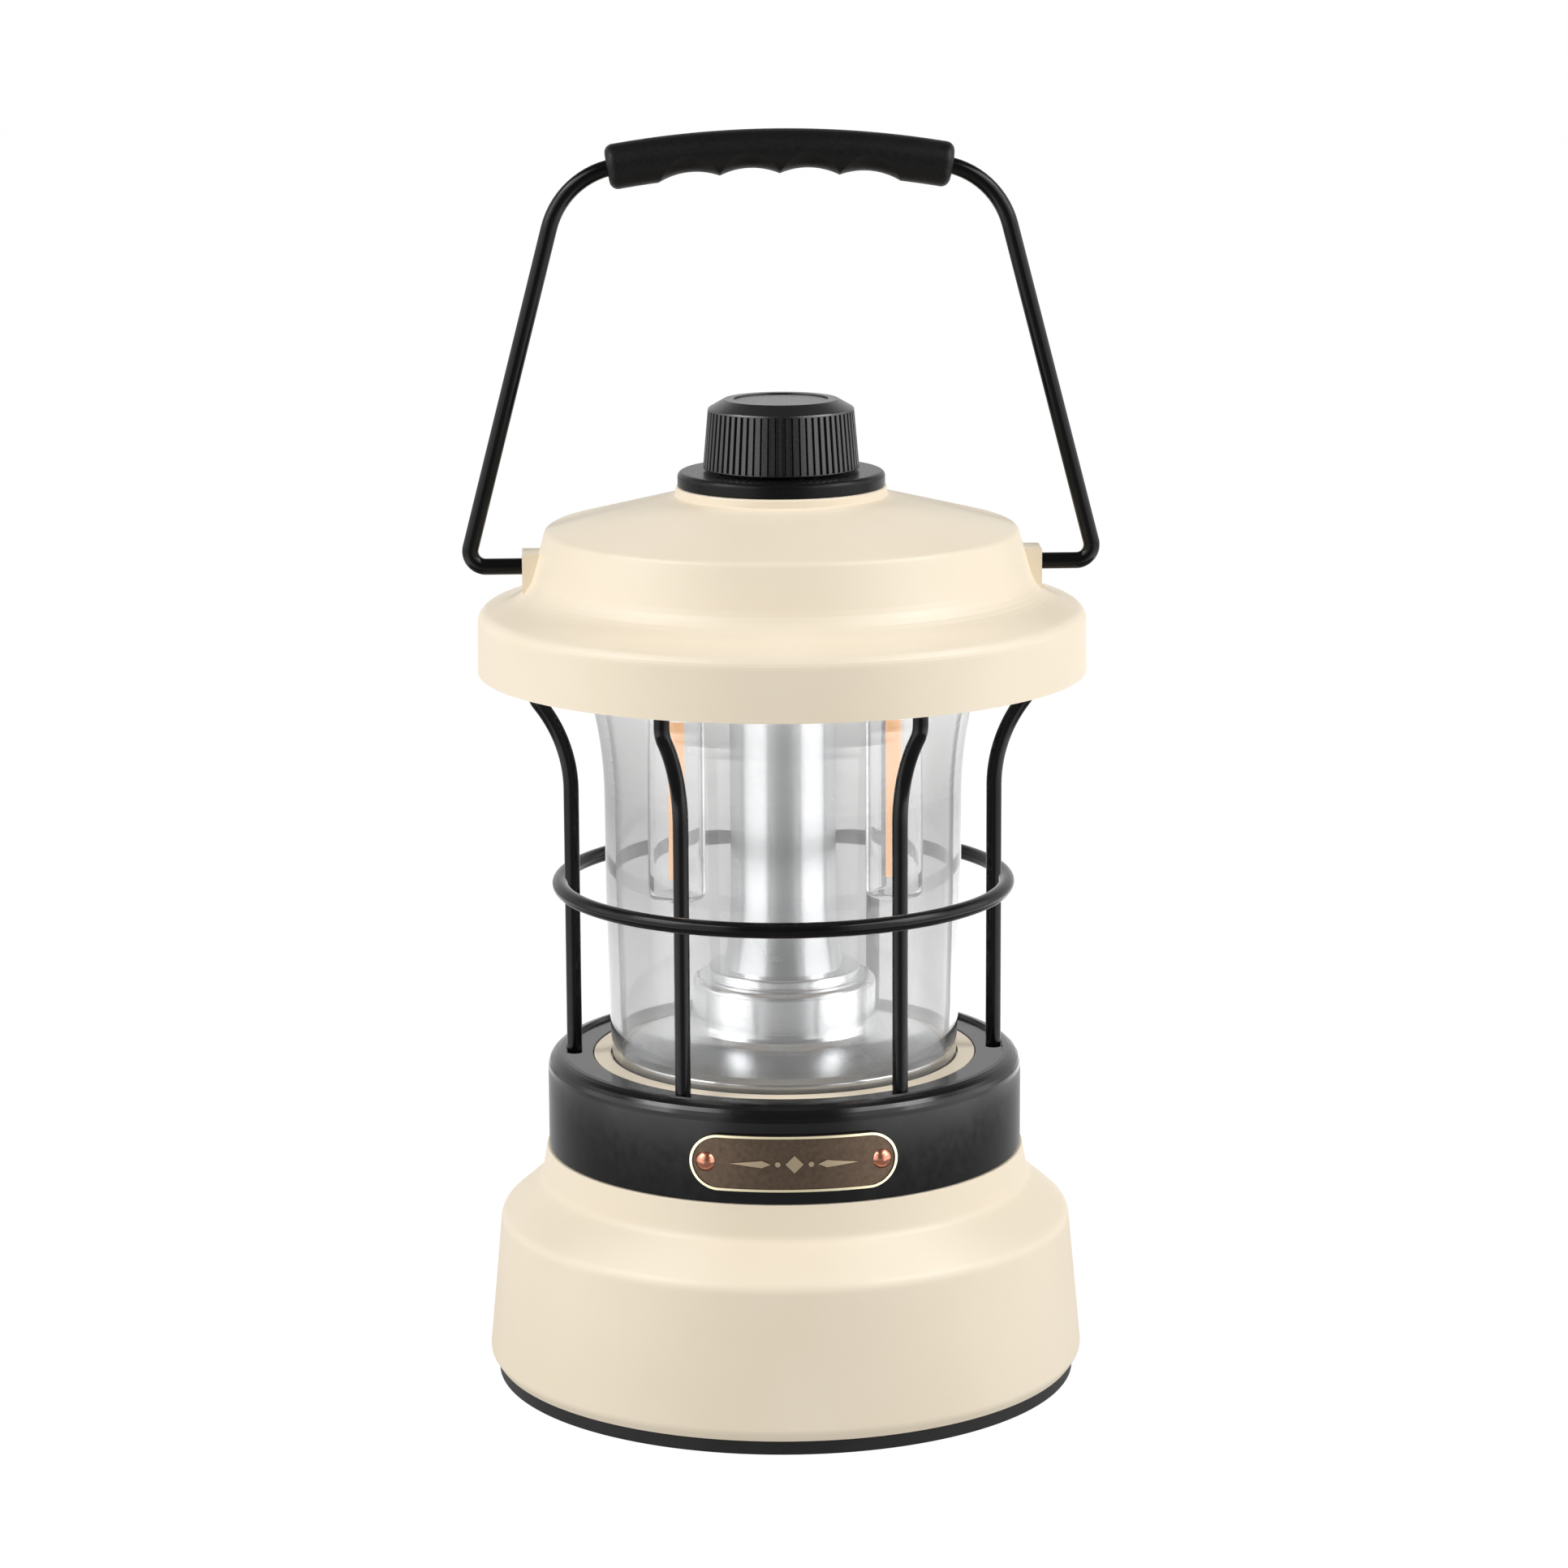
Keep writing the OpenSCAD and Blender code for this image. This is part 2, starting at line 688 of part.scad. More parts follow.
module battery_tray() color("#303436") difference() {
    translate([-tray_len / 2, -tray_width / 2, tray_z]) cube([tray_len, tray_width, tray_h]);
    for (side = [-1, 1]) translate([0, side * cell_pos, cell_z]) {
        along_x(bay_len) cylinder(h = bay_len, d = cell_d + 2 * seat_gap, $fn = turned_fn);
        translate([-bay_len / 2, -cell_d / 2 - seat_gap, 0]) cube([bay_len, cell_d + 2 * seat_gap, cell_d]);
    }
}

// The two cells lie end for end
module battery_cell(side) color("#3f74a8")
    translate([0, side * cell_pos, cell_z]) rotate([0, 0, 90 - side * 90]) {
        translate([-cell_len / 2 - nub_len / 2, 0, 0]) rotate([0, 90, 0])
            cylinder(h = cell_len, d = cell_d, $fn = turned_fn);
        translate([cell_len / 2 - nub_len / 2 - join, 0, 0]) rotate([0, 90, 0])
            cylinder(h = nub_len + join, r = nub_r, $fn = small_fn);
    }

module battery_contacts() color("#c9ccd0") for (end = [-1, 1], side = [-1, 1])
    translate([end * (bay_len - contact_t) / 2, side * cell_pos, cell_z]) rotate([0, 90, 0])
        cylinder(h = contact_t, r = cell_d / 2 - contact_inset, center = true, $fn = small_fn);

board_front_y = 27;
board_back_y = port_reach - base_wall - 1.6;
plug_y = 30.5;
plug_size = [7.4, 5, 4.4];
charge_chip_at = [-3.5, 41];
charge_chip_size = [5, 5, 1.2];
charge_coil_at = [4, 41];
charge_coil_size = [4, 4, 2];
port_inset = port_recess + 0.2;
small_screw_len = 6;

// A part on the charging board, given by the middle of its foot and its size
module on_board(at, size) translate([at.x - size.x / 2, at.y - size.y / 2, board_z + board_t - join])
    cube(size + [0, 0, join]);

module charge_board() color("#2f7a4d") difference() {
    union() {
        translate([-board_w / 2, board_front_y, board_z])
            cube([board_w, board_back_y - board_front_y, board_t]);
        on_board([0, plug_y], plug_size);
        on_board(charge_chip_at, charge_chip_size);
        on_board(charge_coil_at, charge_coil_size);
    }
    at_board_screws() rod(-join, board_t + 2 * join, small_screw_d / 2 + slip_gap);
}

module board_screws() color("silver") at_board_screws()
    translate([0, 0, board_t]) mirror([0, 0, 1]) screw(small_screw_d, small_screw_len);

port_shell_t = 0.3;
tongue = [6.6, 5.6, 0.7];

module usb_port() color("#b9bcc0") {
    mouth_y = port_reach - port_inset;
    towards_back(mouth_y - port_len, shell_z + port_h) difference() {
        linear_extrude(port_len) port_outline(0);
        translate([0, 0, port_shell_t * 2]) linear_extrude(port_len) port_outline(-port_shell_t);
    }
    translate([-tongue.x / 2, mouth_y - port_len + port_shell_t, shell_z + port_h - tongue.z / 2])
        cube(tongue);
}

module charge_light() color("#d8efe0") {
    inner_y = port_reach - base_wall - light_len;
    translate([light_x, 0, 0]) towards_back(inner_y, light_z)
        cylinder(h = port_reach - light_inset - inner_y, r = light_r, $fn = small_fn);
}

battery_lead_d = 1.4;
battery_lead_x = 1.6;
module battery_lead() color("#b03030") for (x = [-1, 1])
    translate([x * battery_lead_x, 0, 0]) towards_back(tray_width / 2, board_z + board_t / 2)
        cylinder(h = board_front_y - tray_width / 2, d = battery_lead_d, $fn = small_fn);

lead_bend_r = 7;
// Straight rise of the lead out of its plug, and the height at which it runs to the middle
lead_rise = 2.3;
lead_z = board_z + board_t + plug_size.z + lead_rise + lead_bend_r;

module main_lead() color("#222222") {
    translate([0, plug_y, lead_z - lead_bend_r - lead_rise]) rotate([0, 0, -90]) bent_wire([
        [lead_rise, lead_bend_r, 90],
        [plug_y - 2 * lead_bend_r, lead_bend_r, -90],
        [head_z + head_t + driver_lift - lead_z - lead_bend_r, 0, 0]
    ], lead_d);
}

// ---- reflector and globe --------------------------------------------------------------

pedestal_round = 1.5;
edge_round = 0.6;
skirt_round = 1;
skirt_turn = 1;
pedestal_foot_z = deck_z + skirt_h;
pedestal_z = pedestal_foot_z + pedestal_h;
column_z = pedestal_z + collar_h;
spigot_h = 3;
column_bore_r = column_r - column_wall;
reflector_post_r = 2.6;
skirt_r = reflector_r - skirt_edge_w;
skirt_edge_h = reflector_edge_h + skirt_turn;
post_reach = (reflector_screw_pos + reflector_post_r - pedestal_r) / (skirt_r - pedestal_r);
reflector_post_h = skirt_h - (skirt_h - skirt_edge_h) * post_reach - reflector_t / 2;

reflector_path = [
    [reflector_r, deck_z, 0],
    [reflector_r, deck_z + reflector_edge_h, edge_round],
    [skirt_r, deck_z + skirt_edge_h, skirt_round],
    [pedestal_r, pedestal_foot_z, pedestal_foot_round],
    [pedestal_r, pedestal_z, pedestal_round],
    [collar_r, pedestal_z, soft_edge],
    [collar_r, column_z, edge_round],
    [column_bore_r - seat_gap, column_z, 0],
    [column_bore_r - seat_gap, column_z + spigot_h, 0]
];

module reflector_base() color("#d5d7da") difference() {
    union() {
        turned_wall(reflector_path, reflector_t);
        at_reflector_screws() rod(deck_z, reflector_post_h, reflector_post_r);
    }
    at_reflector_screws() translate([0, 0, deck_z])
        screw_hole(small_screw_d, reflector_screw_len - base_wall);
}

module reflector_screws() color("silver") at_reflector_screws()
    translate([0, 0, deck_z - base_wall]) screw(small_screw_d, reflector_screw_len);

seat_d = 1;
function arc_rise(radius, a) = radius * (1 - cos(a));
flare_steps = 12;

// The column's foot flares on an arc that leaves the straight part upright
column_swell = column_foot_r - column_r;
column_arc_r = (column_flare_h ^ 2 + column_swell ^ 2) / (2 * column_swell);
column_arc_a = asin(column_flare_h / column_arc_r);
column_path = concat(
    [
        for (i = [flare_steps:-1:0])
            let (a = column_arc_a * i / flare_steps)
            [column_r + arc_rise(column_arc_r, a), column_z + column_flare_h - column_arc_r * sin(a), 0]
    ],
    [[column_r, head_z + seat_d - seat_gap, 0]]
);

module reflector_column() color("#dcdee1") difference() {
    turned(concat(
        [[column_bore_r, column_z, 0]],
        column_path,
        [[column_bore_r, head_z + seat_d - seat_gap, 0], [column_bore_r, column_z, 0]]
    ));
}

// Shares of the height up to the flare at which the globe has half its swell and nearly all of it
low_share = 0.21;
high_share = 0.66;
swell_rest = 0.07;
swell_round = 60;
globe_top_z = head_z + seat_d - seat_gap;
globe_flare_a = asin((globe_top_z - deck_z - flare_z) / flare_r);
globe_path = concat(
    [
        [globe_foot_r, deck_z, 0],
        [globe_foot_r + globe_swell / 2, deck_z + flare_z * low_share, swell_round],
        [globe_mid_r - swell_rest, deck_z + flare_z * high_share, 0]
    ],
    [
        for (i = [0:flare_steps])
            let (a = globe_flare_a * i / flare_steps)
            [globe_mid_r + arc_rise(flare_r, a), deck_z + flare_z + flare_r * sin(a), 0]
    ]
);
globe_top_r = globe_path[len(globe_path) - 1].x;
globe_top_wall = globe_wall / cos(globe_flare_a);
// Inner radius of the globe where it enters the head plate
globe_mouth_r = globe_top_r - globe_top_wall - seat_d * tan(globe_flare_a);

module globe() color("#e8eef0", 0.4) {
    turned_wall(globe_path, globe_wall);
    turned_ring(globe_foot_r - join, flange_r, deck_z, flange_t);
}

// ---- cage -----------------------------------------------------------------------------

cage_ring_r = cage_r + wire_d - ring_sink;
lean_z = band_top_z + lean_h;
lean_top_z = lean_z + lean_r * sin(lean_a) + return_r * sin(lean_a);
upright_foot_z = deck_z - socket_d + seat_gap;
upright_top_r = cage_r + arc_rise(lean_r, lean_a) + arc_rise(return_r, lean_a);
// What the head plate's ring leaves over an upright's end
upright_cover = 1.2;
upright_top_z = head_z + head_ring_t - upright_cover - seat_gap;

module cage_upright(index) color("#1c1c1d") rotate([0, 0, 60 * index])
    translate([cage_r, 0, upright_foot_z]) bent_wire([
        [lean_z - upright_foot_z, lean_r, lean_a],
        [0, return_r, -lean_a],
        [upright_top_z - lean_top_z, 0, 0]
    ], wire_d);

module cage_ring() color("#1c1c1d") difference() {
    translate([0, 0, ring_z]) rotate_extrude($fn = turned_fn)
        translate([cage_ring_r, 0]) circle(d = wire_d, $fn = small_fn);
    at_uprights() rod(ring_z - wire_d, wire_d * 2, wire_d / 2 + seat_gap);
}

// ---- light tubes ----------------------------------------------------------------------

// How deep a tube sits in its socket
tube_grip = 3;
tube_top_z = head_z - holder_h + tube_grip;
tube_z = head_z - tube_drop;
tube_round = 1.6;
holder_wall = 1.1;
holder_floor_z = tube_top_z + seat_gap;
pin_boss_r = 3.4;

module at_tube(index) rotate([0, 0, 90 + 120 * index]) translate([tube_pos, 0, 0]) children();

module led_socket(index) color("#e9e6df") at_tube(index) difference() {
    union() {
        rod(head_z - holder_h, holder_h, tube_d / 2 + holder_wall);
        rod(head_z - join, head_t + driver_lift + join, pin_boss_r);
    }
    rod(head_z - holder_h - join, holder_floor_z - head_z + holder_h + join, tube_d / 2 + seat_gap);
}

module led_tube(index) color("#f2f6f7", 0.4) at_tube(index) turned_wall([
    [0, tube_z, 0],
    [tube_d / 2, tube_z, tube_round],
    [tube_d / 2, tube_top_z, 0]
], tube_wall);

module led_filament(index) color("#f0a050") at_tube(index)
    rod(tube_z + filament_lift, holder_floor_z - tube_z - filament_lift, filament_d / 2);

// ---- head -----------------------------------------------------------------------------

head_r = brim_r - cap_wall - slip_gap * 2;
head_ring_w = 5;
head_ring_in_r = upright_top_r - wire_d / 2 - head_ring_w;
cap_post_inset = 1;
cap_post_pos = crown_foot_r - cap_wall - cap_post_inset;
driver_z = head_z + head_t + driver_lift;
driver_screw_inset = 5;
driver_screw_pos = driver_r - driver_screw_inset;
driver_post_r = 2.6;
driver_screw_len = 5.6;
capacitor = [9, 9, 5];
capacitor_at = [16.5, -1.5];
driver_chip = [8, 6, 1.6];
driver_chip_at = [-18, -1];
head_screw_len = 11;
head_screw_sink = 1.9;
lead_gap = 1;

module at_cap_posts() around(3, 90, cap_post_pos) children();
module at_driver_screws() around(3, 30, driver_screw_pos) children();

module head_plate() color("#efe9dc") difference() {
    union() {
        rod(head_z, head_t, head_r, turned_fn);
        turned_ring(head_ring_in_r, head_r, head_z, head_ring_t);
        at_driver_screws() rod(head_z, head_t + driver_lift, driver_post_r);
    }
    turned_ring(globe_mouth_r - slip_gap, globe_top_r + slip_gap, head_z - join, seat_d + join);
    rod(head_z - join, seat_d + join, column_r + seat_gap, turned_fn);
    rod(head_z - join, head_t + 2 * join, lead_d / 2 + lead_gap);
    for (i = [0:2]) at_tube(i) rod(head_z - join, head_t + 2 * join, pin_boss_r + seat_gap);
    around(6, 0, upright_top_r)
        rod(head_z - join, upright_top_z - head_z + join + seat_gap, wire_d / 2 + seat_gap);
    at_cap_posts() {
        rod(head_z - join, head_ring_t + 2 * join, screw_d / 2 + slip_gap);
        rod(head_z - join, head_screw_sink + join, screw_d * head_ratio / 2 + slip_gap);
    }
    at_driver_screws() translate([0, 0, driver_z]) mirror([0, 0, 1])
        screw_hole(small_screw_d, driver_screw_len - board_t);
}

module head_screws() color("silver") at_cap_posts()
    translate([0, 0, head_z + head_screw_sink]) screw(screw_d, head_screw_len);

module on_driver(at, size) translate([at.x - size.x / 2, at.y - size.y / 2, driver_z + board_t - join])
    cube(size + [0, 0, join]);

module driver_board() color("#2f7a4d") difference() {
    union() {
        rod(driver_z, board_t, driver_r, turned_fn);
        on_driver(capacitor_at, capacitor);
        on_driver(driver_chip_at, driver_chip);
    }
    at_driver_screws() rod(driver_z - join, board_t + 2 * join, small_screw_d / 2 + slip_gap);
}

module driver_screws() color("silver") at_driver_screws()
    translate([0, 0, driver_z + board_t]) mirror([0, 0, 1])
        screw(small_screw_d, driver_screw_len);

// ---- cap ------------------------------------------------------------------------------

skirt_lean = 0.15;
seat_lean = 0.1;
seat_round = 0.5;

cap_path = [
    [brim_r, brim_z, 0],
    [brim_r - skirt_lean, brim_z + brim_h, brim_round],
    [crown_foot_r, crown_z, crown_blend],
    [crown_r, crown_top_z, crown_round],
    [seat_r + seat_lean, seat_z, soft_edge],
    [seat_r, seat_top_z, seat_round],
    [bush_d / 2 + seat_gap, seat_top_z, 0]
];

// How deep an ear's foot is let into the brim's slope
ear_sink = 1;

// The cap without its hollow: what the posts may fill
module cap_solid() turned(concat([[0, brim_z, 0]], cap_path, [[0, seat_top_z, 0], [0, brim_z, 0]]));

module cap() color("#efe2c8") difference() {
    union() {
        turned_wall(cap_path, cap_wall);
        for (side = [0, 1]) mirror([side, 0, 0]) translate([crown_r - join, -ear_w / 2, crown_z - ear_sink])
            cube([ear_x - crown_r + join, ear_w, pivot_z + ear_rise - crown_z + ear_sink]);
        intersection() {
            cap_solid();
            at_cap_posts() rod(head_z + head_ring_t, crown_top_z - head_z - head_ring_t, post_r);
        }
    }
    for (side = [-1, 1]) translate([side * (ear_x - pin_len - 1), 0, pivot_z]) rotate([0, side * 90, 0])
        cylinder(h = pin_len + 2, d = bail_d + 2 * running_gap, $fn = small_fn);
    at_cap_posts() translate([0, 0, head_z + head_ring_t])
        screw_hole(screw_d, head_screw_len - head_ring_t + head_screw_sink);
}

// ---- dimmer and knob ------------------------------------------------------------------

dimmer_r = 8.5;
dimmer_top_z = seat_top_z - cap_wall;
dimmer_z = dimmer_top_z - dimmer_h;
nut_h = 2;
nut_wall = 2.2;
nut_r = bush_d / 2 + nut_wall;
// How deep the nut's well is in the bezel, how far the bush stands out of the nut, and how far
// the shaft's ends stay below the knob's side and over the floor of their bore
well_d = 1.6;
bush_rise = 1;
shaft_short = 1.5;
shaft_floor_t = 1.5;
shaft_lift = 0.3;
bezel_floor_z = bezel_top_z - well_d;
bush_top_z = bezel_floor_z + nut_h + bush_rise;
shaft_top_z = knob_side_z - shaft_short;
shaft_z = dimmer_z + shaft_floor_t + shaft_lift;
terminal = [1.4, 1.4, 3.5];
terminal_pitch = 5;
terminal_y = -6.4;

module at_terminals(z) {
    for (i = [-1:1]) translate([i * terminal_pitch, terminal_y, z]) children();
}

module dimmer_body() color("#8a8d90") difference() {
    union() {
        rod(dimmer_z, dimmer_h, dimmer_r, turned_fn);
        rod(dimmer_top_z - join, bush_top_z - dimmer_top_z + join, bush_d / 2);
        at_terminals(dimmer_z - terminal.z) translate([-terminal.x / 2, -terminal.y / 2, 0])
            cube(terminal + [0, 0, join]);
    }
    rod(dimmer_z + shaft_floor_t, bush_top_z - dimmer_z, shaft_d / 2 + running_gap);
}

module dimmer_shaft() color("#c9ccd0") rod(shaft_z, shaft_top_z - shaft_z, shaft_d / 2);

module dimmer_nut() color("#c9ccd0") translate([0, 0, bezel_floor_z]) difference() {
    cylinder(h = nut_h, r = nut_r, $fn = 6);
    rod(-join, nut_h + 2 * join, bush_d / 2 + seat_gap);
}

module dimmer_wires() color("#b03030") at_terminals(driver_z + board_t)
    cylinder(h = dimmer_z - terminal.z - driver_z - board_t, d = battery_lead_d, $fn = small_fn);

module knob_bezel() color("#232324") difference() {
    turned([
        [0, seat_top_z, 0],
        [seat_r - bezel_inset, seat_top_z, soft_edge],
        [seat_r - bezel_inset, bezel_top_z, bezel_round],
        [0, bezel_top_z, 0],
        [0, seat_top_z, 0]
    ]);
    rod(seat_top_z - join, bezel_h + 2 * join, bush_d / 2 + seat_gap, turned_fn);
    rod(bezel_floor_z, bezel_h, nut_r + slip_gap, turned_fn);
}

knob_collar_h = 0.4;
knob_floor_z = bush_top_z + knob_gap;
knob_bore_r = nut_r + 0.6;
face_recess = 0.3;
face_rim = 2;
knob_round = 0.6;

// The grooves between the ribs lean with the knob's side; their widths are shares of a rib's step
groove_step = 2 * PI * (knob_r - knob_taper) / rib_count;
groove_floor = 0.2 * groove_step;
groove_mouth = 0.5 * groove_step;
groove_spread = (groove_mouth - groove_floor) / rib_d;
knob_lean = atan(knob_taper / knob_side_h);

module rib_groove() {
    translate([knob_r, 0, knob_z]) rotate([0, -knob_lean, 0]) translate([0, 0, knob_collar_h])
        linear_extrude(knob_side_h / cos(knob_lean) - 2 * knob_collar_h) polygon([
            [-rib_d, -groove_floor / 2],
            [join, -groove_mouth / 2 - groove_spread * join / 2],
            [join, groove_mouth / 2 + groove_spread * join / 2],
            [-rib_d, groove_floor / 2]
        ]);
}

module knob() color("#19191a") difference() {
    turned([
        [0, knob_z, 0],
        [knob_r, knob_z, soft_edge],
        [knob_r - knob_taper, knob_side_z, knob_round],
        [knob_face_r, knob_top_z, knob_round],
        [0, knob_top_z, 0],
        [0, knob_z, 0]
    ]);
    around(rib_count, 0, 0) rib_groove();
    rod(knob_z - join, knob_floor_z - knob_z + join, knob_bore_r, turned_fn);
    rod(knob_z, shaft_top_z - knob_z + seat_gap, shaft_d / 2 + seat_gap);
    rod(knob_top_z - face_recess, join, knob_face_r - face_rim, turned_fn);
}

// ---- bail and grip --------------------------------------------------------------------

// The leg's line leans in from (bail_x, 0) in the bail's plane, with the pivot as height 0.
// The shoulder's circle touches the leg's line and, from inside, the arch's circle.
bail_x = brim_r + bail_side;
leg_dir = [-sin(bail_lean), cos(bail_lean)];
leg_in = [-cos(bail_lean), -sin(bail_lean)];
corner_cut = bail_corner_r * tan((90 + bail_lean) / 2);
arch_centre = [0, bail_rise - arch_r];
to_arch = [bail_x, 0] + bail_shoulder_r * leg_in - arch_centre;
leg_half = to_arch * leg_dir;
leg_end = -leg_half + sqrt(leg_half ^ 2 - to_arch * to_arch + (arch_r - bail_shoulder_r) ^ 2);
shoulder_centre = [bail_x, 0] + leg_end * leg_dir + bail_shoulder_r * leg_in;
arch_a = atan2(shoulder_centre.x, shoulder_centre.y - arch_centre.y);
pin_x = ear_x - pin_len;

module bail_wire(d) {
    for (side = [0, 1]) mirror([side, 0, 0]) translate([pin_x, 0, pivot_z]) rotate([0, 90, 0]) bent_wire([
        [bail_x - corner_cut - pin_x, bail_corner_r, -90 - bail_lean],
        [leg_end - corner_cut, bail_shoulder_r, arch_a + bail_lean - 90]
    ], d);
    translate([0, 0, pivot_z + arch_centre.y]) arc_wire(arch_r, 90 - arch_a, 90 + arch_a, d);
}

module bail() color("#1c1c1d") bail_wire(bail_d);

grip_a = asin((grip_len / 2 - grip_round) / arch_r);
scoop_r = ((scoop_pitch / 2) ^ 2 + scoop_d ^ 2) / (2 * scoop_d);
// Each scoop is turned about an axis over the grip's own, so that it fades out up the sides
scoop_lift = scoop_d + 0.1;
scoop_reach = grip_d / 2 - scoop_d + scoop_lift;

// A frame on the arch at an angle from its top: +X along the arch and +Z outwards
module on_arch(a) translate([0, 0, pivot_z + arch_centre.y]) rotate([0, a, 0])
    translate([0, 0, arch_r]) children();

module grip() color("#1f1f20") difference() {
    union() {
        translate([0, 0, pivot_z + arch_centre.y]) arc_wire(arch_r, 90 - grip_a, 90 + grip_a, grip_d);
        for (side = [-1, 1]) on_arch(side * grip_a) rotate([0, side * 90, 0]) turned([
            [0, -bead_gap * 6, 0],
            [grip_d / 2 + bead_rise, -bead_gap * 6, 0],
            [grip_d / 2 + bead_rise, grip_round, grip_round - bead_rise],
            [0, grip_round, 0],
            [0, -bead_gap * 6, 0]
        ]);
    }
    for (i = [-1.5:1.5]) on_arch(asin(i * scoop_pitch / arch_r)) translate([0, 0, scoop_lift])
        rotate([0, 90, 0]) rotate_extrude($fn = turned_fn) translate([scoop_reach + scoop_r, 0])
            circle(r = scoop_r, $fn = turned_fn);
    bail_wire(bail_d + 2 * seat_gap);
}

// ---- nodes ----------------------------------------------------------------------------

foot_ring();
bottom_cover();
bottom_screws();
base_shell();
band();
name_plate();
plate_rivets();
battery_tray();
battery_cell(-1);  // battery_cell_1
battery_cell(1);  // battery_cell_2
battery_contacts();
charge_board();
board_screws();
usb_port();
charge_light();
battery_lead();
main_lead();
reflector_base();
reflector_screws();
reflector_column();
globe();
cage_ring();
cage_upright(0);  // cage_upright_1
cage_upright(1);  // cage_upright_2
cage_upright(2);  // cage_upright_3
cage_upright(3);  // cage_upright_4
cage_upright(4);  // cage_upright_5
cage_upright(5);  // cage_upright_6
head_plate();
head_screws();
driver_board();
driver_screws();
dimmer_wires();
led_socket(0);  // led_socket_1
led_socket(1);  // led_socket_2
led_socket(2);  // led_socket_3
led_tube(0);  // led_tube_1
led_tube(1);  // led_tube_2
led_tube(2);  // led_tube_3
led_filament(0);  // led_filament_1
led_filament(1);  // led_filament_2
led_filament(2);  // led_filament_3
cap();
knob_bezel();
dimmer_body();
dimmer_nut();
dimmer_shaft();
knob();
bail();
grip();
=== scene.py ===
import math
import bpy
from mathutils import Matrix, Vector

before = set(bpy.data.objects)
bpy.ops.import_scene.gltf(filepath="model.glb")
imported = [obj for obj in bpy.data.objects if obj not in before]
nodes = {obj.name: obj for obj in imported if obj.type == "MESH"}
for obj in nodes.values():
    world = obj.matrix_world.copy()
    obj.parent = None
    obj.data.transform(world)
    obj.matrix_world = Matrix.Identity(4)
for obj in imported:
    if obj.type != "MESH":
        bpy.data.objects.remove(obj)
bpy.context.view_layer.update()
print("lantern: model loaded,", len(nodes), "nodes")

mm = 0.001
whiteLight = (1, 1, 1, 1)


def linearFromHex(code):
    # sRGB hex to the linear colour that the shader wants, with alpha
    channels = [int(code[i:i + 2], 16) / 255 for i in (1, 3, 5)]
    linear = [c / 12.92 if c <= 0.04045 else ((c + 0.055) / 1.055) ** 2.4 for c in channels]
    return (*linear, 1.0)


def setInputs(tree, node, inputs):
    # each input gets a plain value or another node's output
    for socket, value in inputs.items():
        if isinstance(value, bpy.types.NodeSocket):
            tree.links.new(value, node.inputs[socket])
        else:
            node.inputs[socket].default_value = value


def addNode(tree, kind, inputs=None, **settings):
    node = tree.nodes.new("ShaderNode" + kind)
    for name, value in settings.items():
        setattr(node, name, value)
    setInputs(tree, node, inputs or {})
    return node


# the steps that the studio and the materials share; each gives back what its node puts out
def calc(tree, operation, first, second=0.5):
    return addNode(tree, "Math", {0: first, 1: second}, operation=operation).outputs[0]


def mapped(tree, value, fromSpan, toSpan=(0.0, 1.0)):
    return addNode(tree, "MapRange", {
        "Value": value, "From Min": fromSpan[0], "From Max": fromSpan[1],
        "To Min": toSpan[0], "To Max": toSpan[1]}).outputs["Result"]


def blend(tree, share, plain, other):
    return addNode(tree, "Mix", {0: share, 2: plain, 3: other}).outputs[0]


def blendColour(tree, share, plain, other):
    return addNode(tree, "Mix", {0: share, 6: plain, 7: other}, data_type="RGBA").outputs[2]


def partsOf(tree, vector):
    return addNode(tree, "SeparateXYZ", {"Vector": vector}).outputs


def lengthOf(tree, vector):
    return addNode(tree, "VectorMath", {0: vector}, operation="LENGTH").outputs["Value"]


def fromAxis(tree, place):
    # distance from the lamp's upright axis
    level = addNode(tree, "VectorMath", {0: place, 1: (1, 1, 0)}, operation="MULTIPLY")
    return lengthOf(tree, level.outputs["Vector"])


cameraLook = {
    "focalPixels": 6000,      # fitted to the photo, over a frame 1932 wide
    "framePixels": 1932,
    "sensorMm": 36,
    "clip": (0.05, 50),
    "distance": 1000 * mm,    # from the lamp's axis, level
    "height": 329.7 * mm,
    "turn": 2.2,              # degrees round the lamp
    "pitch": 11.5,            # degrees down
    "roll": 0.3,
    "shiftPixels": (1.4, 0.0),
}


def makeCamera(look):
    data = bpy.data.cameras.new("photoCamera")
    camera = bpy.data.objects.new("photoCamera", data)
    bpy.context.scene.collection.objects.link(camera)
    data.sensor_width = look["sensorMm"]
    data.lens = look["sensorMm"] * look["focalPixels"] / look["framePixels"]
    data.shift_x, data.shift_y = (shift / look["framePixels"] for shift in look["shiftPixels"])
    data.clip_start, data.clip_end = look["clip"]
    turn = math.radians(look["turn"])
    place = Vector((-math.sin(turn) * look["distance"], -math.cos(turn) * look["distance"], look["height"]))
    camera.matrix_world = (
        Matrix.Translation(place)
        @ Matrix.Rotation(-turn, 4, "Z")
        @ Matrix.Rotation(math.radians(90 - look["pitch"]), 4, "X")
        @ Matrix.Rotation(math.radians(-look["roll"]), 4, "Z")
    )
    bpy.context.scene.camera = camera


makeCamera(cameraLook)
print("lantern: camera set")

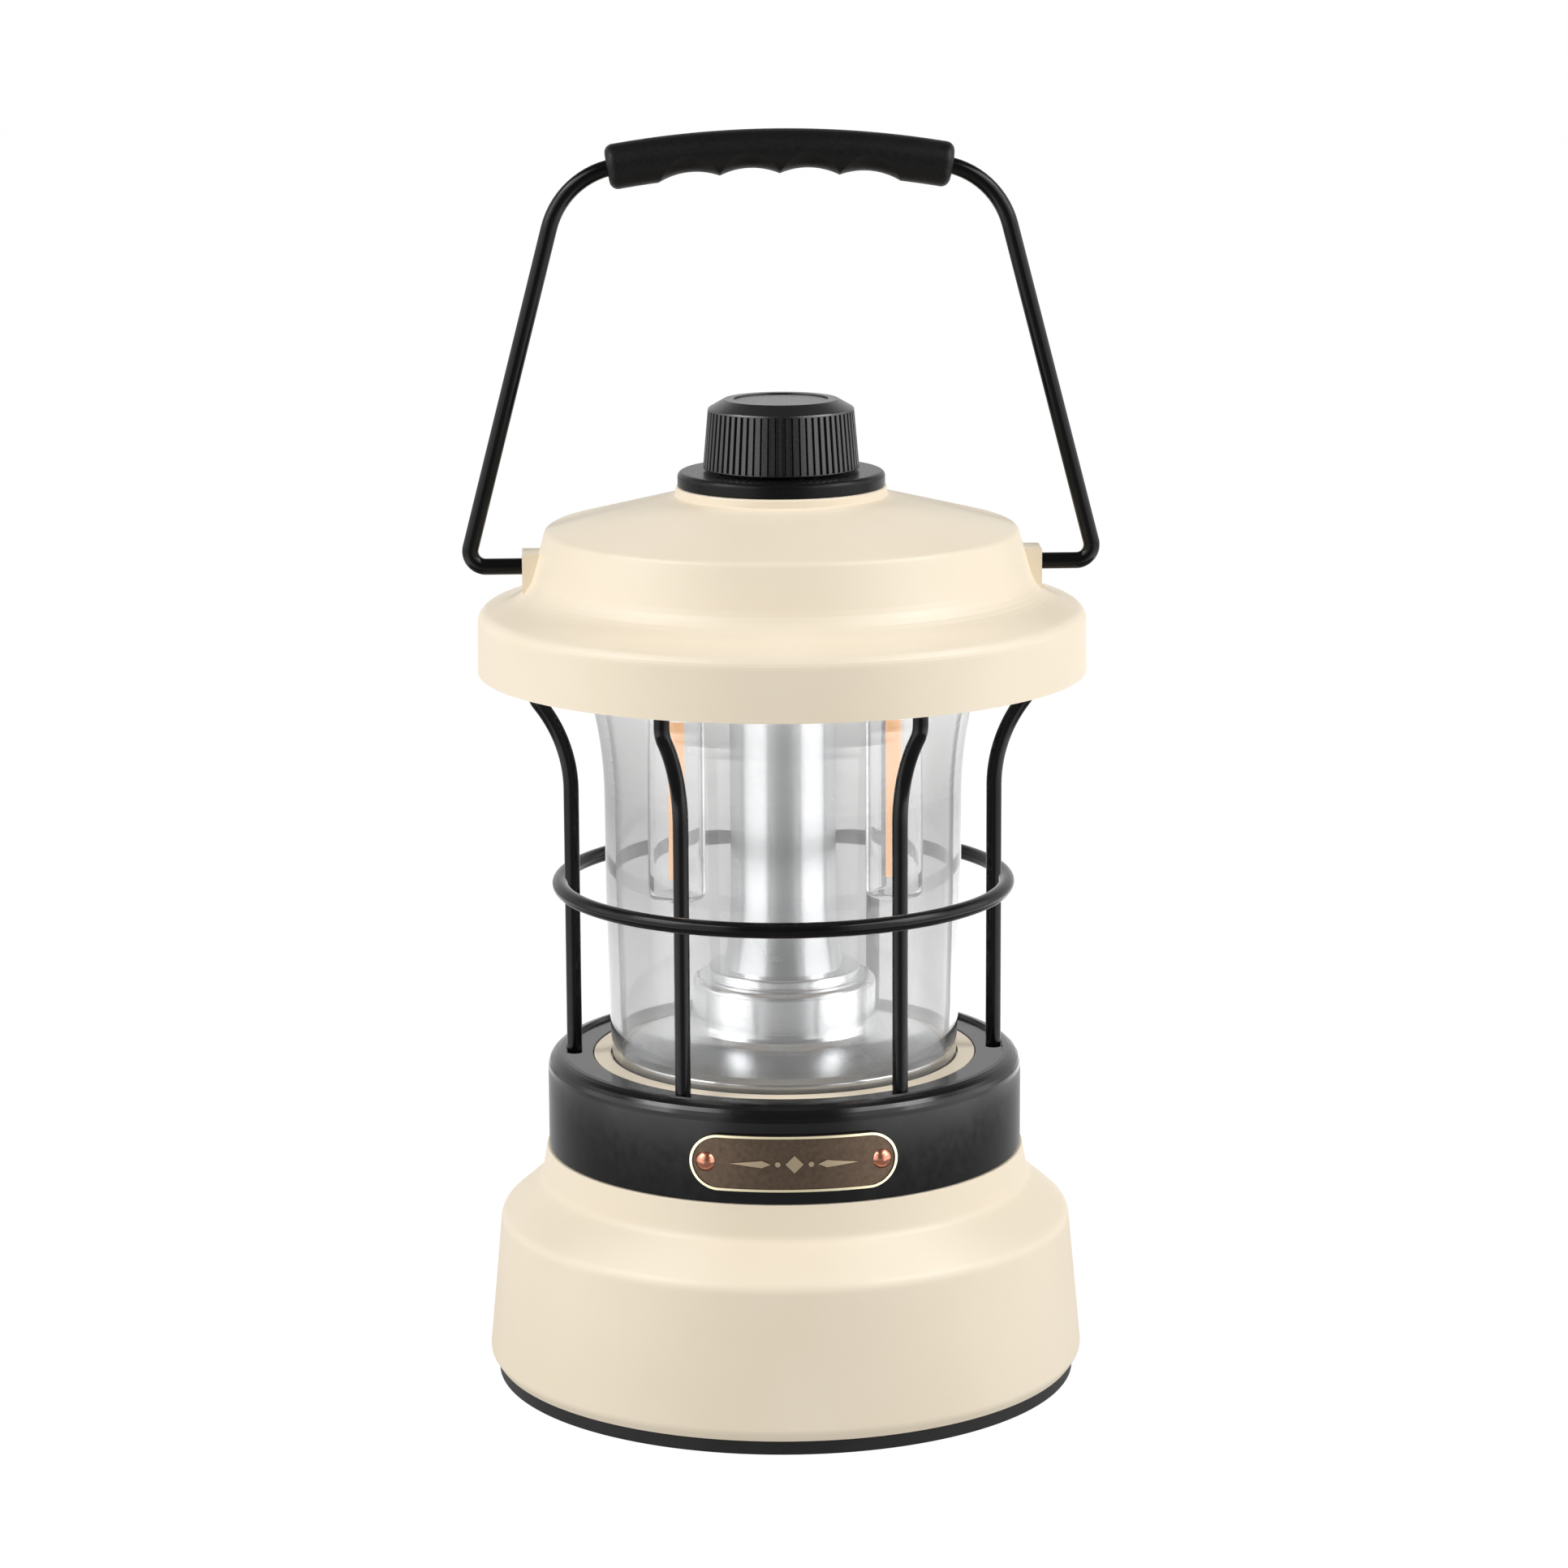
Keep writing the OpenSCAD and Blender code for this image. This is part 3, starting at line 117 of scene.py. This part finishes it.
studioLook = {
    "floorHalf": 4.0,
    "floorOwnLight": 0.95,    # share of the floor's white that no shadow takes away
    "floorGive": 0.64,        # what the floor sends up to matt surfaces
    "floorPaper": (0.1, 0.1, 0.1, 1),
    "skyLevel": 0.46,         # what the white room gives to matt surfaces
    "softboxes": {            # name: place, size in metres, watts
        "softboxLeft": ((-0.92, -0.3, 0.75), (0.5, 0.6), 6.6),
        "softboxRight": ((0.92, -0.3, 0.75), (0.5, 0.6), 6.6),
    },
    "target": (0, 0, 0.13),
    "glowUnderCap": ((0, 0, 0.148), (0.1, 0.1), 0.1),    # the same three; lifts what stands under the cap
    # what only gloss shows, as black and white cards would stand round the set: brightness by degrees
    # from the front for the walls and the middle zone of the floor, which also dims with the distance
    "nearCard": 0.45,         # the floor nearest the lamp
    "midFrom": 0.27,          # metres from the lamp at which the middle zone starts
    "midCards": [
        (-180, 1.0), (-150, 0.9), (-120, 1.1), (-100, 1.6), (-82, 3.0), (-65, 3.4), (-46, 3.4), (-32, 2.2),
        (-20, 0.9), (4, 0.6), (20, 0.9), (31, 2.3), (45, 3.5), (65, 3.8), (84, 3.6), (102, 2.1),
        (120, 1.6), (150, 1.4), (180, 1.3)],
    "dimmingSpan": (0.34, 0.6),    # metres from the lamp, and the factor at each
    "dimmingFactors": (1.3, 0.72),
    "farFrom": 2.6,
    "farCard": 0.2,
    "cardEdge": 0.01,         # half the width over which one zone turns into the next
    "walls": [
        (-180, 1.0), (-125, 1.0), (-103, 2.8), (-38, 2.8), (-24, 0.3), (24, 0.3), (36, 3.0), (106, 3.0),
        (128, 1.0), (180, 1.0)],
    "wallTop": (0.45, 0.65),  # height in the sky at which the walls end
    "roof": 0.25,
    "rimCards": {             # name: place, size, brightness
        "rimCardLeft": ((-0.74, -0.3, 1.0), (1.0, 0.3), 9.0),
        "rimCardRight": ((0.74, -0.3, 1.0), (1.0, 0.3), 9.0),
    },
}


def backgroundRays(tree):
    # 1 where a ray looks at the background, straight or by way of gloss and glass
    path = addNode(tree, "LightPath").outputs
    seen = calc(tree, "MAXIMUM", path["Is Camera Ray"], path["Is Glossy Ray"])
    return calc(tree, "MAXIMUM", seen, path["Is Transmission Ray"])


def mirrored(tree):
    # 1 once a path has been thrown back by a gloss
    return calc(tree, "GREATER_THAN", addNode(tree, "LightPath").outputs["Glossy Depth"], 0.5)


def cardsRound(tree, place, cards):
    # brightness by the degrees from the front, positive to the right
    where = partsOf(tree, place)
    angle = calc(tree, "ARCTAN2", where["X"], calc(tree, "MULTIPLY", where["Y"], -1.0))
    tones = addNode(tree, "FloatCurve", {"Value": mapped(tree, angle, (-math.pi, math.pi))})
    curve = tones.mapping.curves[0]
    top = max(tone for _, tone in cards)
    # a curve has two points from the start; the rest come in the middle, and all are placed after that
    for _ in cards[2:]:
        curve.points.new(0.5, 0.5)
    for point, (degrees, tone) in zip(curve.points, cards):
        point.location = ((degrees + 180) / 360, tone / top)
    tones.mapping.update()
    return calc(tree, "MULTIPLY", tones.outputs[0], top)


def floorCards(tree, look):
    place = addNode(tree, "TexCoord").outputs["Object"]
    reach = lengthOf(tree, place)
    dim = mapped(tree, reach, look["dimmingSpan"], look["dimmingFactors"])
    middle = calc(tree, "MULTIPLY", cardsRound(tree, place, look["midCards"]), dim)
    soft = look["cardEdge"]
    pastMid, pastFar = [
        mapped(tree, reach, (start - soft, start + soft)) for start in (look["midFrom"], look["farFrom"])]
    return blend(tree, pastFar, blend(tree, pastMid, look["nearCard"], middle), look["farCard"])


def makeRoom(look):
    world = bpy.data.worlds.new("whiteRoom")
    bpy.context.scene.world = world
    world.use_nodes = True
    tree = world.node_tree
    tree.nodes.clear()
    level = mapped(tree, backgroundRays(tree), (0.0, 1.0), (look["skyLevel"], 1.0))
    toward = addNode(tree, "TexCoord").outputs["Generated"]
    overhead = mapped(tree, partsOf(tree, toward)["Z"], look["wallTop"])
    room = blend(tree, overhead, cardsRound(tree, toward, look["walls"]), look["roof"])
    sky = addNode(tree, "Background", {
        "Color": whiteLight, "Strength": blend(tree, mirrored(tree), level, room)})
    addNode(tree, "OutputWorld", {"Surface": sky.outputs[0]})


def bareMaterial(name):
    material = bpy.data.materials.new(name)
    material.use_nodes = True
    material.node_tree.nodes.clear()
    return material, material.node_tree


def stageSheet(name, size, material, placed=Matrix()):
    # a flat sheet that isn't part of the lamp
    x, y = size[0] / 2, size[1] / 2
    corners = [placed @ Vector(corner) for corner in ((-x, -y, 0), (x, -y, 0), (x, y, 0), (-x, y, 0))]
    mesh = bpy.data.meshes.new(name)
    mesh.from_pydata(corners, [], [(0, 1, 2, 3)])
    mesh.materials.append(material)
    sheet = bpy.data.objects.new(name, mesh)
    bpy.context.scene.collection.objects.link(sheet)
    return sheet


def makeFloor(look):
    paper, tree = bareMaterial("whitePaperSweep")
    own = mapped(tree, backgroundRays(tree), (0.0, 1.0), (look["floorGive"], look["floorOwnLight"]))
    shown = blend(tree, mirrored(tree), own, floorCards(tree, look))
    white = addNode(tree, "BsdfDiffuse", {"Color": look["floorPaper"]})
    glow = addNode(tree, "Emission", {"Color": whiteLight, "Strength": shown})
    both = addNode(tree, "AddShader", {0: white.outputs[0], 1: glow.outputs[0]})
    # from below the floor is see-through, so that the underside can be looked at
    side = addNode(tree, "NewGeometry").outputs["Backfacing"]
    clear = addNode(tree, "BsdfTransparent").outputs[0]
    mixed = addNode(tree, "MixShader", {0: side, 1: both.outputs[0], 2: clear})
    addNode(tree, "OutputMaterial", {"Surface": mixed.outputs[0]})
    stageSheet("studioFloor", (2 * look["floorHalf"], 2 * look["floorHalf"]), paper)


def aimedAt(place, target):
    return (Vector(target) - Vector(place)).to_track_quat("-Z", "Y")


def makeRimCards(look):
    # only gloss sees them
    for name, (place, size, brightness) in look["rimCards"].items():
        card, tree = bareMaterial(name + "Light")
        glow = addNode(tree, "Emission", {"Color": whiteLight, "Strength": brightness})
        addNode(tree, "OutputMaterial", {"Surface": glow.outputs[0]})
        placed = Matrix.Translation(Vector(place)) @ aimedAt(place, look["target"]).to_matrix().to_4x4()
        sheet = stageSheet(name, size, card, placed)
        for ray in ("camera", "diffuse", "transmission", "shadow", "volume_scatter"):
            setattr(sheet, "visible_" + ray, False)


def areaLight(name, shape, place, size, watts):
    data = bpy.data.lights.new(name, "AREA")
    data.shape = shape
    data.size, data.size_y = size
    data.energy = watts
    light = bpy.data.objects.new(name, data)
    bpy.context.scene.collection.objects.link(light)
    light.location = place
    return light


def makeLights(look):
    for name, (place, size, watts) in look["softboxes"].items():
        box = areaLight(name, "RECTANGLE", place, size, watts)
        box.rotation_mode = "QUATERNION"
        box.rotation_quaternion = aimedAt(place, look["target"])
    glow = areaLight("glowUnderCap", "DISK", *look["glowUnderCap"])
    for ray in ("camera", "transmission", "glossy"):
        setattr(glow, "visible_" + ray, False)


makeRoom(studioLook)
makeFloor(studioLook)
makeRimCards(studioLook)
makeLights(studioLook)
bpy.context.scene.view_settings.view_transform = "Standard"
print("lantern: studio lit")

noiseSpan = (0.3, 0.7)        # nearly all of a noise's values lie here


def newMaterial(name):
    # with its shader, and the place in the lamp that the textures are laid out by
    material, tree = bareMaterial(name)
    shader = addNode(tree, "BsdfPrincipled")
    addNode(tree, "OutputMaterial", {"Surface": shader.outputs["BSDF"]})
    return material, tree, shader, addNode(tree, "TexCoord").outputs["Object"]


def noiseAt(tree, place, sizeMm, detail=2.0, roughness=0.5):
    return addNode(tree, "TexNoise", {
        "Vector": place, "Scale": 1 / (sizeMm * mm), "Detail": detail, "Roughness": roughness}).outputs["Fac"]


def twoTones(tree, share, low, high, span=(0.0, 1.0)):
    # from one hex colour to the other over the span
    ramp = addNode(tree, "ValToRGB", {"Fac": share})
    for element, code, position in zip(ramp.color_ramp.elements, (low, high), span):
        element.position = position
        element.color = linearFromHex(code)
    return ramp.outputs["Color"]


def unevenSheen(tree, noise, look):
    # roughness that wanders round its middle value
    return mapped(tree, noise, noiseSpan, (
        look["roughness"] - look["roughSpread"], look["roughness"] + look["roughSpread"]))


def bumpFrom(tree, height, strength, depthMm):
    return addNode(tree, "Bump", {
        "Height": height, "Strength": strength, "Distance": depthMm * mm}).outputs["Normal"]


def mouldedPlastic(name, look):
    # the eye gets an even colour that drifts a little, a fine spark-eroded grain and a broken-up sheen
    material, tree, shader, place = newMaterial(name)
    drift = noiseAt(tree, place, look["driftMm"], detail=3.0, roughness=0.55)
    grain = noiseAt(tree, place, look["grainMm"], roughness=0.6)
    setInputs(tree, shader, {
        "Base Color": twoTones(tree, drift, look["shade"], look["colour"], span=(0.32, 0.68)),
        "Roughness": unevenSheen(tree, grain, look),
        "Normal": bumpFrom(tree, grain, look["grainStrength"], look["grainDepthMm"]),
        "IOR": look["ior"], "Specular IOR Level": look.get("specular", 0.5)})
    return material


# ABS, injection moulded in an eroded tool: warm cream, satin
creamAbs = mouldedPlastic("creamMouldedAbs", {
    "colour": "#f2e5cf", "shade": "#eee0c8", "driftMm": 38, "grainMm": 0.55, "grainDepthMm": 0.03,
    "grainStrength": 0.25, "roughness": 0.46, "roughSpread": 0.05, "ior": 1.54, "specular": 0.35})

# ABS from a polished tool: deep black gloss with a little flow texture
glossBlackAbs = mouldedPlastic("glossBlackMouldedAbs", {
    "colour": "#111113", "shade": "#0d0d0e", "driftMm": 12, "grainMm": 2.2, "grainDepthMm": 0.02,
    "grainStrength": 0.1, "roughness": 0.15, "roughSpread": 0.03, "ior": 1.5, "specular": 0.22})

# black ABS, eroded: dull black with a fine grain
dullBlackAbs = mouldedPlastic("dullBlackMouldedAbs", {
    "colour": "#0d0d0e", "shade": "#09090a", "driftMm": 9, "grainMm": 0.45, "grainDepthMm": 0.04,
    "grainStrength": 0.25, "roughness": 0.3, "roughSpread": 0.05, "ior": 1.54})

# black ABS with a satin finish, for the bezel: hardly any reflection at a low angle
satinBlackAbs = mouldedPlastic("satinBlackMouldedAbs", {
    "colour": "#111112", "shade": "#0d0d0e", "driftMm": 9, "grainMm": 0.6, "grainDepthMm": 0.02,
    "grainStrength": 0.2, "roughness": 0.28, "roughSpread": 0.04, "ior": 1.5, "specular": 0.1})

# thermoplastic rubber, moulded: soft dark sheen, no sharp glints; one rubber in two copies, the grip's made
# darker as painted shade and the foot's made greyer as painted light
shadedGripRubber = mouldedPlastic("shadedBlackMouldedRubber", {
    "colour": "#0d0d0d", "shade": "#090909", "driftMm": 7, "grainMm": 0.6, "grainDepthMm": 0.05,
    "grainStrength": 0.4, "roughness": 0.46, "roughSpread": 0.08, "ior": 1.5, "specular": 0.12})
litFootRubber = mouldedPlastic("litGreyMouldedRubber", {
    "colour": "#1e1e1e", "shade": "#181818", "driftMm": 7, "grainMm": 0.8, "grainDepthMm": 0.05,
    "grainStrength": 0.4, "roughness": 0.5, "roughSpread": 0.08, "ior": 1.5, "specular": 0.3})

# white ABS of the head plate and the light tubes' sockets: clean, evenly dull
whiteAbs = mouldedPlastic("whiteMouldedAbs", {
    "colour": "#f4f1e9", "shade": "#eeeae0", "driftMm": 20, "grainMm": 0.5, "grainDepthMm": 0.03,
    "grainStrength": 0.2, "roughness": 0.4, "roughSpread": 0.05, "ior": 1.54})

# steel wire under gloss black lacquer: small orange peel, hard highlights
blackLacquer = mouldedPlastic("blackLacqueredWire", {
    "colour": "#0d0d0e", "shade": "#0a0a0b", "driftMm": 6, "grainMm": 1.6, "grainDepthMm": 0.03,
    "grainStrength": 0.18, "roughness": 0.18, "roughSpread": 0.04, "ior": 1.5, "specular": 0.12})

# insulation of the wires: PVC, drawn smooth
redPvc = mouldedPlastic("redDrawnPvc", {
    "colour": "#a81f1c", "shade": "#8f1a18", "driftMm": 10, "grainMm": 0.8, "grainDepthMm": 0.02,
    "grainStrength": 0.1, "roughness": 0.35, "roughSpread": 0.05, "ior": 1.53})
blackPvc = mouldedPlastic("blackDrawnPvc", {
    "colour": "#1a1a1b", "shade": "#131314", "driftMm": 10, "grainMm": 0.8, "grainDepthMm": 0.02,
    "grainStrength": 0.1, "roughness": 0.35, "roughSpread": 0.05, "ior": 1.53})


def turnedMetal(name, look):
    # metal worked on a lathe: fine rings round the axis stretch each highlight along it
    material, tree, shader, place = newMaterial(name)
    reach = calc(tree, "ADD", partsOf(tree, place)["Z"], fromAxis(tree, place))
    along = addNode(tree, "CombineXYZ", {"Z": reach}).outputs["Vector"]
    rings = noiseAt(tree, along, look["ringMm"], detail=4.0, roughness=0.7)
    cloud = noiseAt(tree, place, look["cloudMm"], detail=3.0)
    setInputs(tree, shader, {
        "Base Color": twoTones(tree, rings, look["shade"], look["colour"], span=noiseSpan),
        "Roughness": unevenSheen(tree, cloud, look),
        "Normal": bumpFrom(tree, rings, look["ringStrength"], look["ringDepthMm"]), "Metallic": 1.0})
    return material


# aluminium, spun and bright dipped: silvery, with tool rings drawn at 0.5 mm so that they show
spunAluminium = turnedMetal("spunBrightAluminium", {
    "colour": "#f6f7f8", "shade": "#eceef0", "ringMm": 0.5, "ringDepthMm": 0.008, "ringStrength": 0.4,
    "cloudMm": 14, "roughness": 0.26, "roughSpread": 0.02})

# zinc-plated steel of screws, nut, shaft and contacts: grey with a faint blue cast
zincSteel = turnedMetal("zincPlatedSteel", {
    "colour": "#c9ccd1", "shade": "#b4b8be", "ringMm": 0.4, "ringDepthMm": 0.01, "ringStrength": 0.35,
    "cloudMm": 3, "roughness": 0.33, "roughSpread": 0.08})

# copper-washed brass, domed under a punch: warm pink-brown, darker in patches
copperWash = turnedMetal("copperWashedBrass", {
    "colour": "#bd8670", "shade": "#8d5646", "ringMm": 0.7, "ringDepthMm": 0.01, "ringStrength": 0.3,
    "cloudMm": 1.2, "roughness": 0.27, "roughSpread": 0.08})


def clearPlastic(name, look):
    # clear plastic, blown, drawn or moulded: a faint smoke, a bright rim and a trace of haze
    material, tree, shader, place = newMaterial(name)
    haze = noiseAt(tree, place, look["hazeMm"])
    setInputs(tree, shader, {
        "Base Color": twoTones(tree, haze, look["shade"], look["colour"]),
        "Roughness": mapped(tree, haze, noiseSpan, (look["roughness"], look["roughness"] + look["roughSpread"])),
        "Normal": bumpFrom(tree, haze, look["flowStrength"], look["flowMm"]),
        "IOR": look["ior"], "Specular IOR Level": look.get("specular", 0.5),
        "Transmission Weight": look["transmission"]})
    if "dimPerMm" in look:
        smoke = addNode(tree, "VolumeAbsorption", {"Color": (0, 0, 0, 1), "Density": look["dimPerMm"] / mm})
        setInputs(tree, tree.nodes["Material Output"], {"Volume": smoke.outputs[0]})
    return material


globePlastic = clearPlastic("clearBlownPolycarbonate", {
    "colour": "#f4f4f4", "shade": "#efefef", "hazeMm": 25, "roughness": 0.02, "roughSpread": 0.02,
    "flowStrength": 0.05, "flowMm": 0.1, "ior": 1.49, "transmission": 0.93, "dimPerMm": 0.1, "specular": 0.25})
tubePlastic = clearPlastic("clearDrawnPolycarbonate", {
    "colour": "#ffffff", "shade": "#fbfcfc", "hazeMm": 12, "roughness": 0.0, "roughSpread": 0.02,
    "flowStrength": 0.05, "flowMm": 0.1, "ior": 1.45, "transmission": 1.0})
lightPipe = clearPlastic("clearMouldedAcrylic", {
    "colour": "#e8f2ec", "shade": "#dfeae4", "hazeMm": 4, "roughness": 0.12, "roughSpread": 0.05,
    "flowStrength": 0.1, "flowMm": 0.1, "ior": 1.49, "transmission": 0.6})


def antiquedPlate(name, look):
    # cast brass, blackened and rubbed back: brown in the field, fawn on the ornament, pale along the edge
    material, tree, shader, place = newMaterial(name)
    where = partsOf(tree, place)
    tarnish = noiseAt(tree, place, look["tarnishMm"], detail=5.0, roughness=0.65)
    rubbing = mapped(tree, tarnish, (0.0, 1.0), (-look["rubMm"] * mm, look["rubMm"] * mm))
    proudOfField = calc(tree, "ADD", fromAxis(tree, place), rubbing)
    rubbed = mapped(tree, proudOfField, [(look["fieldRadius"] + over) * mm for over in look["rubbedOver"]])
    # the plate's outline is a straight bar with round ends, so its edge is a distance from that bar
    pastStraight = calc(tree, "SUBTRACT", calc(tree, "ABSOLUTE", where["X"]), look["halfStraight"] * mm)
    offset = addNode(tree, "CombineXYZ", {
        "X": calc(tree, "MAXIMUM", pastStraight, 0.0),
        "Y": calc(tree, "SUBTRACT", where["Z"], look["middleZ"] * mm)})
    edge = calc(tree, "GREATER_THAN", lengthOf(tree, offset.outputs[0]), look["edgeFrom"] * mm)
    field = twoTones(tree, tarnish, look["dark"], look["brown"], span=(0.3, 0.75))
    proud = blendColour(tree, edge, linearFromHex(look["fawn"]), linearFromHex(look["bright"]))
    setInputs(tree, shader, {
        "Base Color": blendColour(tree, rubbed, field, proud),
        "Roughness": mapped(tree, rubbed, (0.0, 1.0), (look["fieldRoughness"], look["rimRoughness"])),
        "Normal": bumpFrom(tree, tarnish, look["pitStrength"], look["pitDepthMm"]), "Metallic": 1.0})
    return material


bronzePlate = antiquedPlate("antiquedCastBrass", {
    "dark": "#52463b", "brown": "#66564a", "fawn": "#b3a288", "bright": "#ece2c0", "tarnishMm": 1.1,
    "rubMm": 0.12, "rubbedOver": (0.1, 0.3), "pitStrength": 0.4, "pitDepthMm": 0.05,
    "fieldRadius": 50.7, "halfStraight": 15.35, "middleZ": 58.1, "edgeFrom": 5.15,    # the plate's outline
    "fieldRoughness": 0.45, "rimRoughness": 0.3})


def phosphorStrip(name, look):
    # LED chips under yellow-orange silicone: a warm, slightly lumpy strip; its emission is a painted glow that
    # keeps the unlit strip bright in place of the light falling on it
    material, tree, shader, place = newMaterial(name)
    lumps = noiseAt(tree, place, look["chipMm"])
    setInputs(tree, shader, {
        "Base Color": twoTones(tree, lumps, look["shade"], look["colour"], span=(0.35, 0.65)),
        "Normal": bumpFrom(tree, lumps, look["lumpStrength"], look["lumpDepthMm"]),
        "Roughness": look["roughness"], "IOR": look["ior"],
        "Emission Color": linearFromHex(look["glow"]), "Emission Strength": look["paintedGlowLevel"]})
    return material


# the emission in the strip's own orange is a painted glow, not the lamp's light
filamentPhosphor = phosphorStrip("siliconePhosphorPaintedGlow", {
    "colour": "#f8b872", "shade": "#f0a65a", "chipMm": 1.4, "lumpStrength": 0.3, "lumpDepthMm": 0.15,
    "roughness": 0.5, "ior": 1.41, "glow": "#ffba74", "paintedGlowLevel": 1.0})


def circuitBoard(name, look):
    # glass-epoxy board under green lacquer: tracks show as slightly lighter bands
    material, tree, shader, place = newMaterial(name)
    tracks = addNode(tree, "TexBrick", {
        "Vector": place, "Scale": 1.0, "Mortar": linearFromHex(look["track"]),
        "Color1": linearFromHex(look["green"]), "Color2": linearFromHex(look["greenDark"]),
        "Mortar Size": look["gapMm"] * mm, "Brick Width": look["padMm"] * mm, "Row Height": look["rowMm"] * mm})
    weave = noiseAt(tree, place, look["weaveMm"])
    setInputs(tree, shader, {
        "Base Color": tracks.outputs["Color"],
        "Normal": bumpFrom(tree, weave, look["weaveStrength"], look["weaveDepthMm"]),
        "Roughness": look["roughness"], "IOR": look["ior"]})
    return material


greenBoard = circuitBoard("lacqueredEpoxyBoard", {
    "green": "#1f5c36", "greenDark": "#1a5230", "track": "#3f8456", "gapMm": 0.25, "padMm": 6, "rowMm": 3,
    "weaveMm": 0.6, "weaveStrength": 0.2, "weaveDepthMm": 0.03, "roughness": 0.3, "ior": 1.55})


def wrappedCell(name, look):
    # steel can in blue heat-shrink film, bare at the button
    material, tree, shader, place = newMaterial(name)
    fromMiddle = calc(tree, "ABSOLUTE", partsOf(tree, place)["X"])
    bare = mapped(tree, fromMiddle, (look["wrapEndMm"] * mm, (look["wrapEndMm"] + look["wrapFadeMm"]) * mm))
    wrinkle = noiseAt(tree, place, look["wrinkleMm"], detail=3.0)
    film = twoTones(tree, wrinkle, look["filmDark"], look["film"])
    setInputs(tree, shader, {
        "Base Color": blendColour(tree, bare, film, linearFromHex(look["steel"])), "Metallic": bare,
        "Normal": bumpFrom(tree, wrinkle, look["wrinkleStrength"], look["wrinkleDepthMm"]),
        "Roughness": look["roughness"]})
    return material


cellFilm = wrappedCell("heatShrinkFilm", {
    "film": "#2f6ea8", "filmDark": "#245a8c", "steel": "#c4c7cb", "wrapEndMm": 32.1, "wrapFadeMm": 0.2,
    "wrinkleMm": 3, "wrinkleStrength": 0.3, "wrinkleDepthMm": 0.1, "roughness": 0.3})


def socketShell(name, look):
    # deep-drawn stainless shell round a black tongue
    material, tree, shader, place = newMaterial(name)
    where = partsOf(tree, place)
    height = calc(tree, "ABSOLUTE", calc(tree, "SUBTRACT", where["Z"], look["middleZ"] * mm))
    width = calc(tree, "ABSOLUTE", where["X"])
    inHeight = calc(tree, "LESS_THAN", height, look["tongueHalfH"] * mm)
    inWidth = calc(tree, "LESS_THAN", width, look["tongueHalfW"] * mm)
    tongue = calc(tree, "MULTIPLY", inHeight, inWidth)
    scuff = noiseAt(tree, place, look["scuffMm"], detail=4.0)
    steel = twoTones(tree, scuff, look["steelDark"], look["steel"])
    setInputs(tree, shader, {
        "Base Color": blendColour(tree, tongue, steel, linearFromHex(look["tongue"])),
        "Metallic": calc(tree, "SUBTRACT", 1.0, tongue), "Roughness": look["roughness"]})
    return material


portSteel = socketShell("drawnStainlessShell", {
    "steel": "#cfd2d6", "steelDark": "#b6babf", "tongue": "#141414", "middleZ": 21.5, "tongueHalfH": 0.42,
    "tongueHalfW": 3.4, "scuffMm": 0.8, "roughness": 0.28})

finishes = {
    "foot_ring": litFootRubber, "bottom_cover": dullBlackAbs, "bottom_screws": zincSteel, "base_shell": creamAbs,
    "band": glossBlackAbs, "name_plate": bronzePlate, "plate_rivets": copperWash, "battery_tray": dullBlackAbs,
    "battery_contacts": zincSteel, "charge_board": greenBoard, "board_screws": zincSteel, "usb_port": portSteel,
    "charge_light": lightPipe, "battery_lead": redPvc, "main_lead": blackPvc, "reflector_base": spunAluminium,
    "reflector_screws": zincSteel, "reflector_column": spunAluminium, "globe": globePlastic,
    "cage_ring": blackLacquer, "head_plate": whiteAbs, "head_screws": zincSteel, "driver_board": greenBoard,
    "driver_screws": zincSteel, "dimmer_wires": redPvc, "cap": creamAbs, "knob_bezel": satinBlackAbs,
    "dimmer_body": zincSteel, "dimmer_nut": zincSteel, "dimmer_shaft": zincSteel, "knob": dullBlackAbs,
    "bail": blackLacquer, "grip": shadedGripRubber,
}
numbered = {
    "battery_cell": (2, cellFilm), "cage_upright": (6, blackLacquer), "led_socket": (3, whiteAbs),
    "led_tube": (3, tubePlastic), "led_filament": (3, filamentPhosphor),
}
for stem, (count, finish) in numbered.items():
    finishes.update({f"{stem}_{i}": finish for i in range(1, count + 1)})

# the bright metal mirrors the room, not the thin parts close round it
unmirrored = ("led_tube", "led_filament", "cage_")

for name, node in nodes.items():
    node.data.materials.clear()
    node.data.materials.append(finishes[name])
    if name.startswith(unmirrored):
        node.visible_glossy = False
print("lantern: materials on", len(finishes), "nodes")
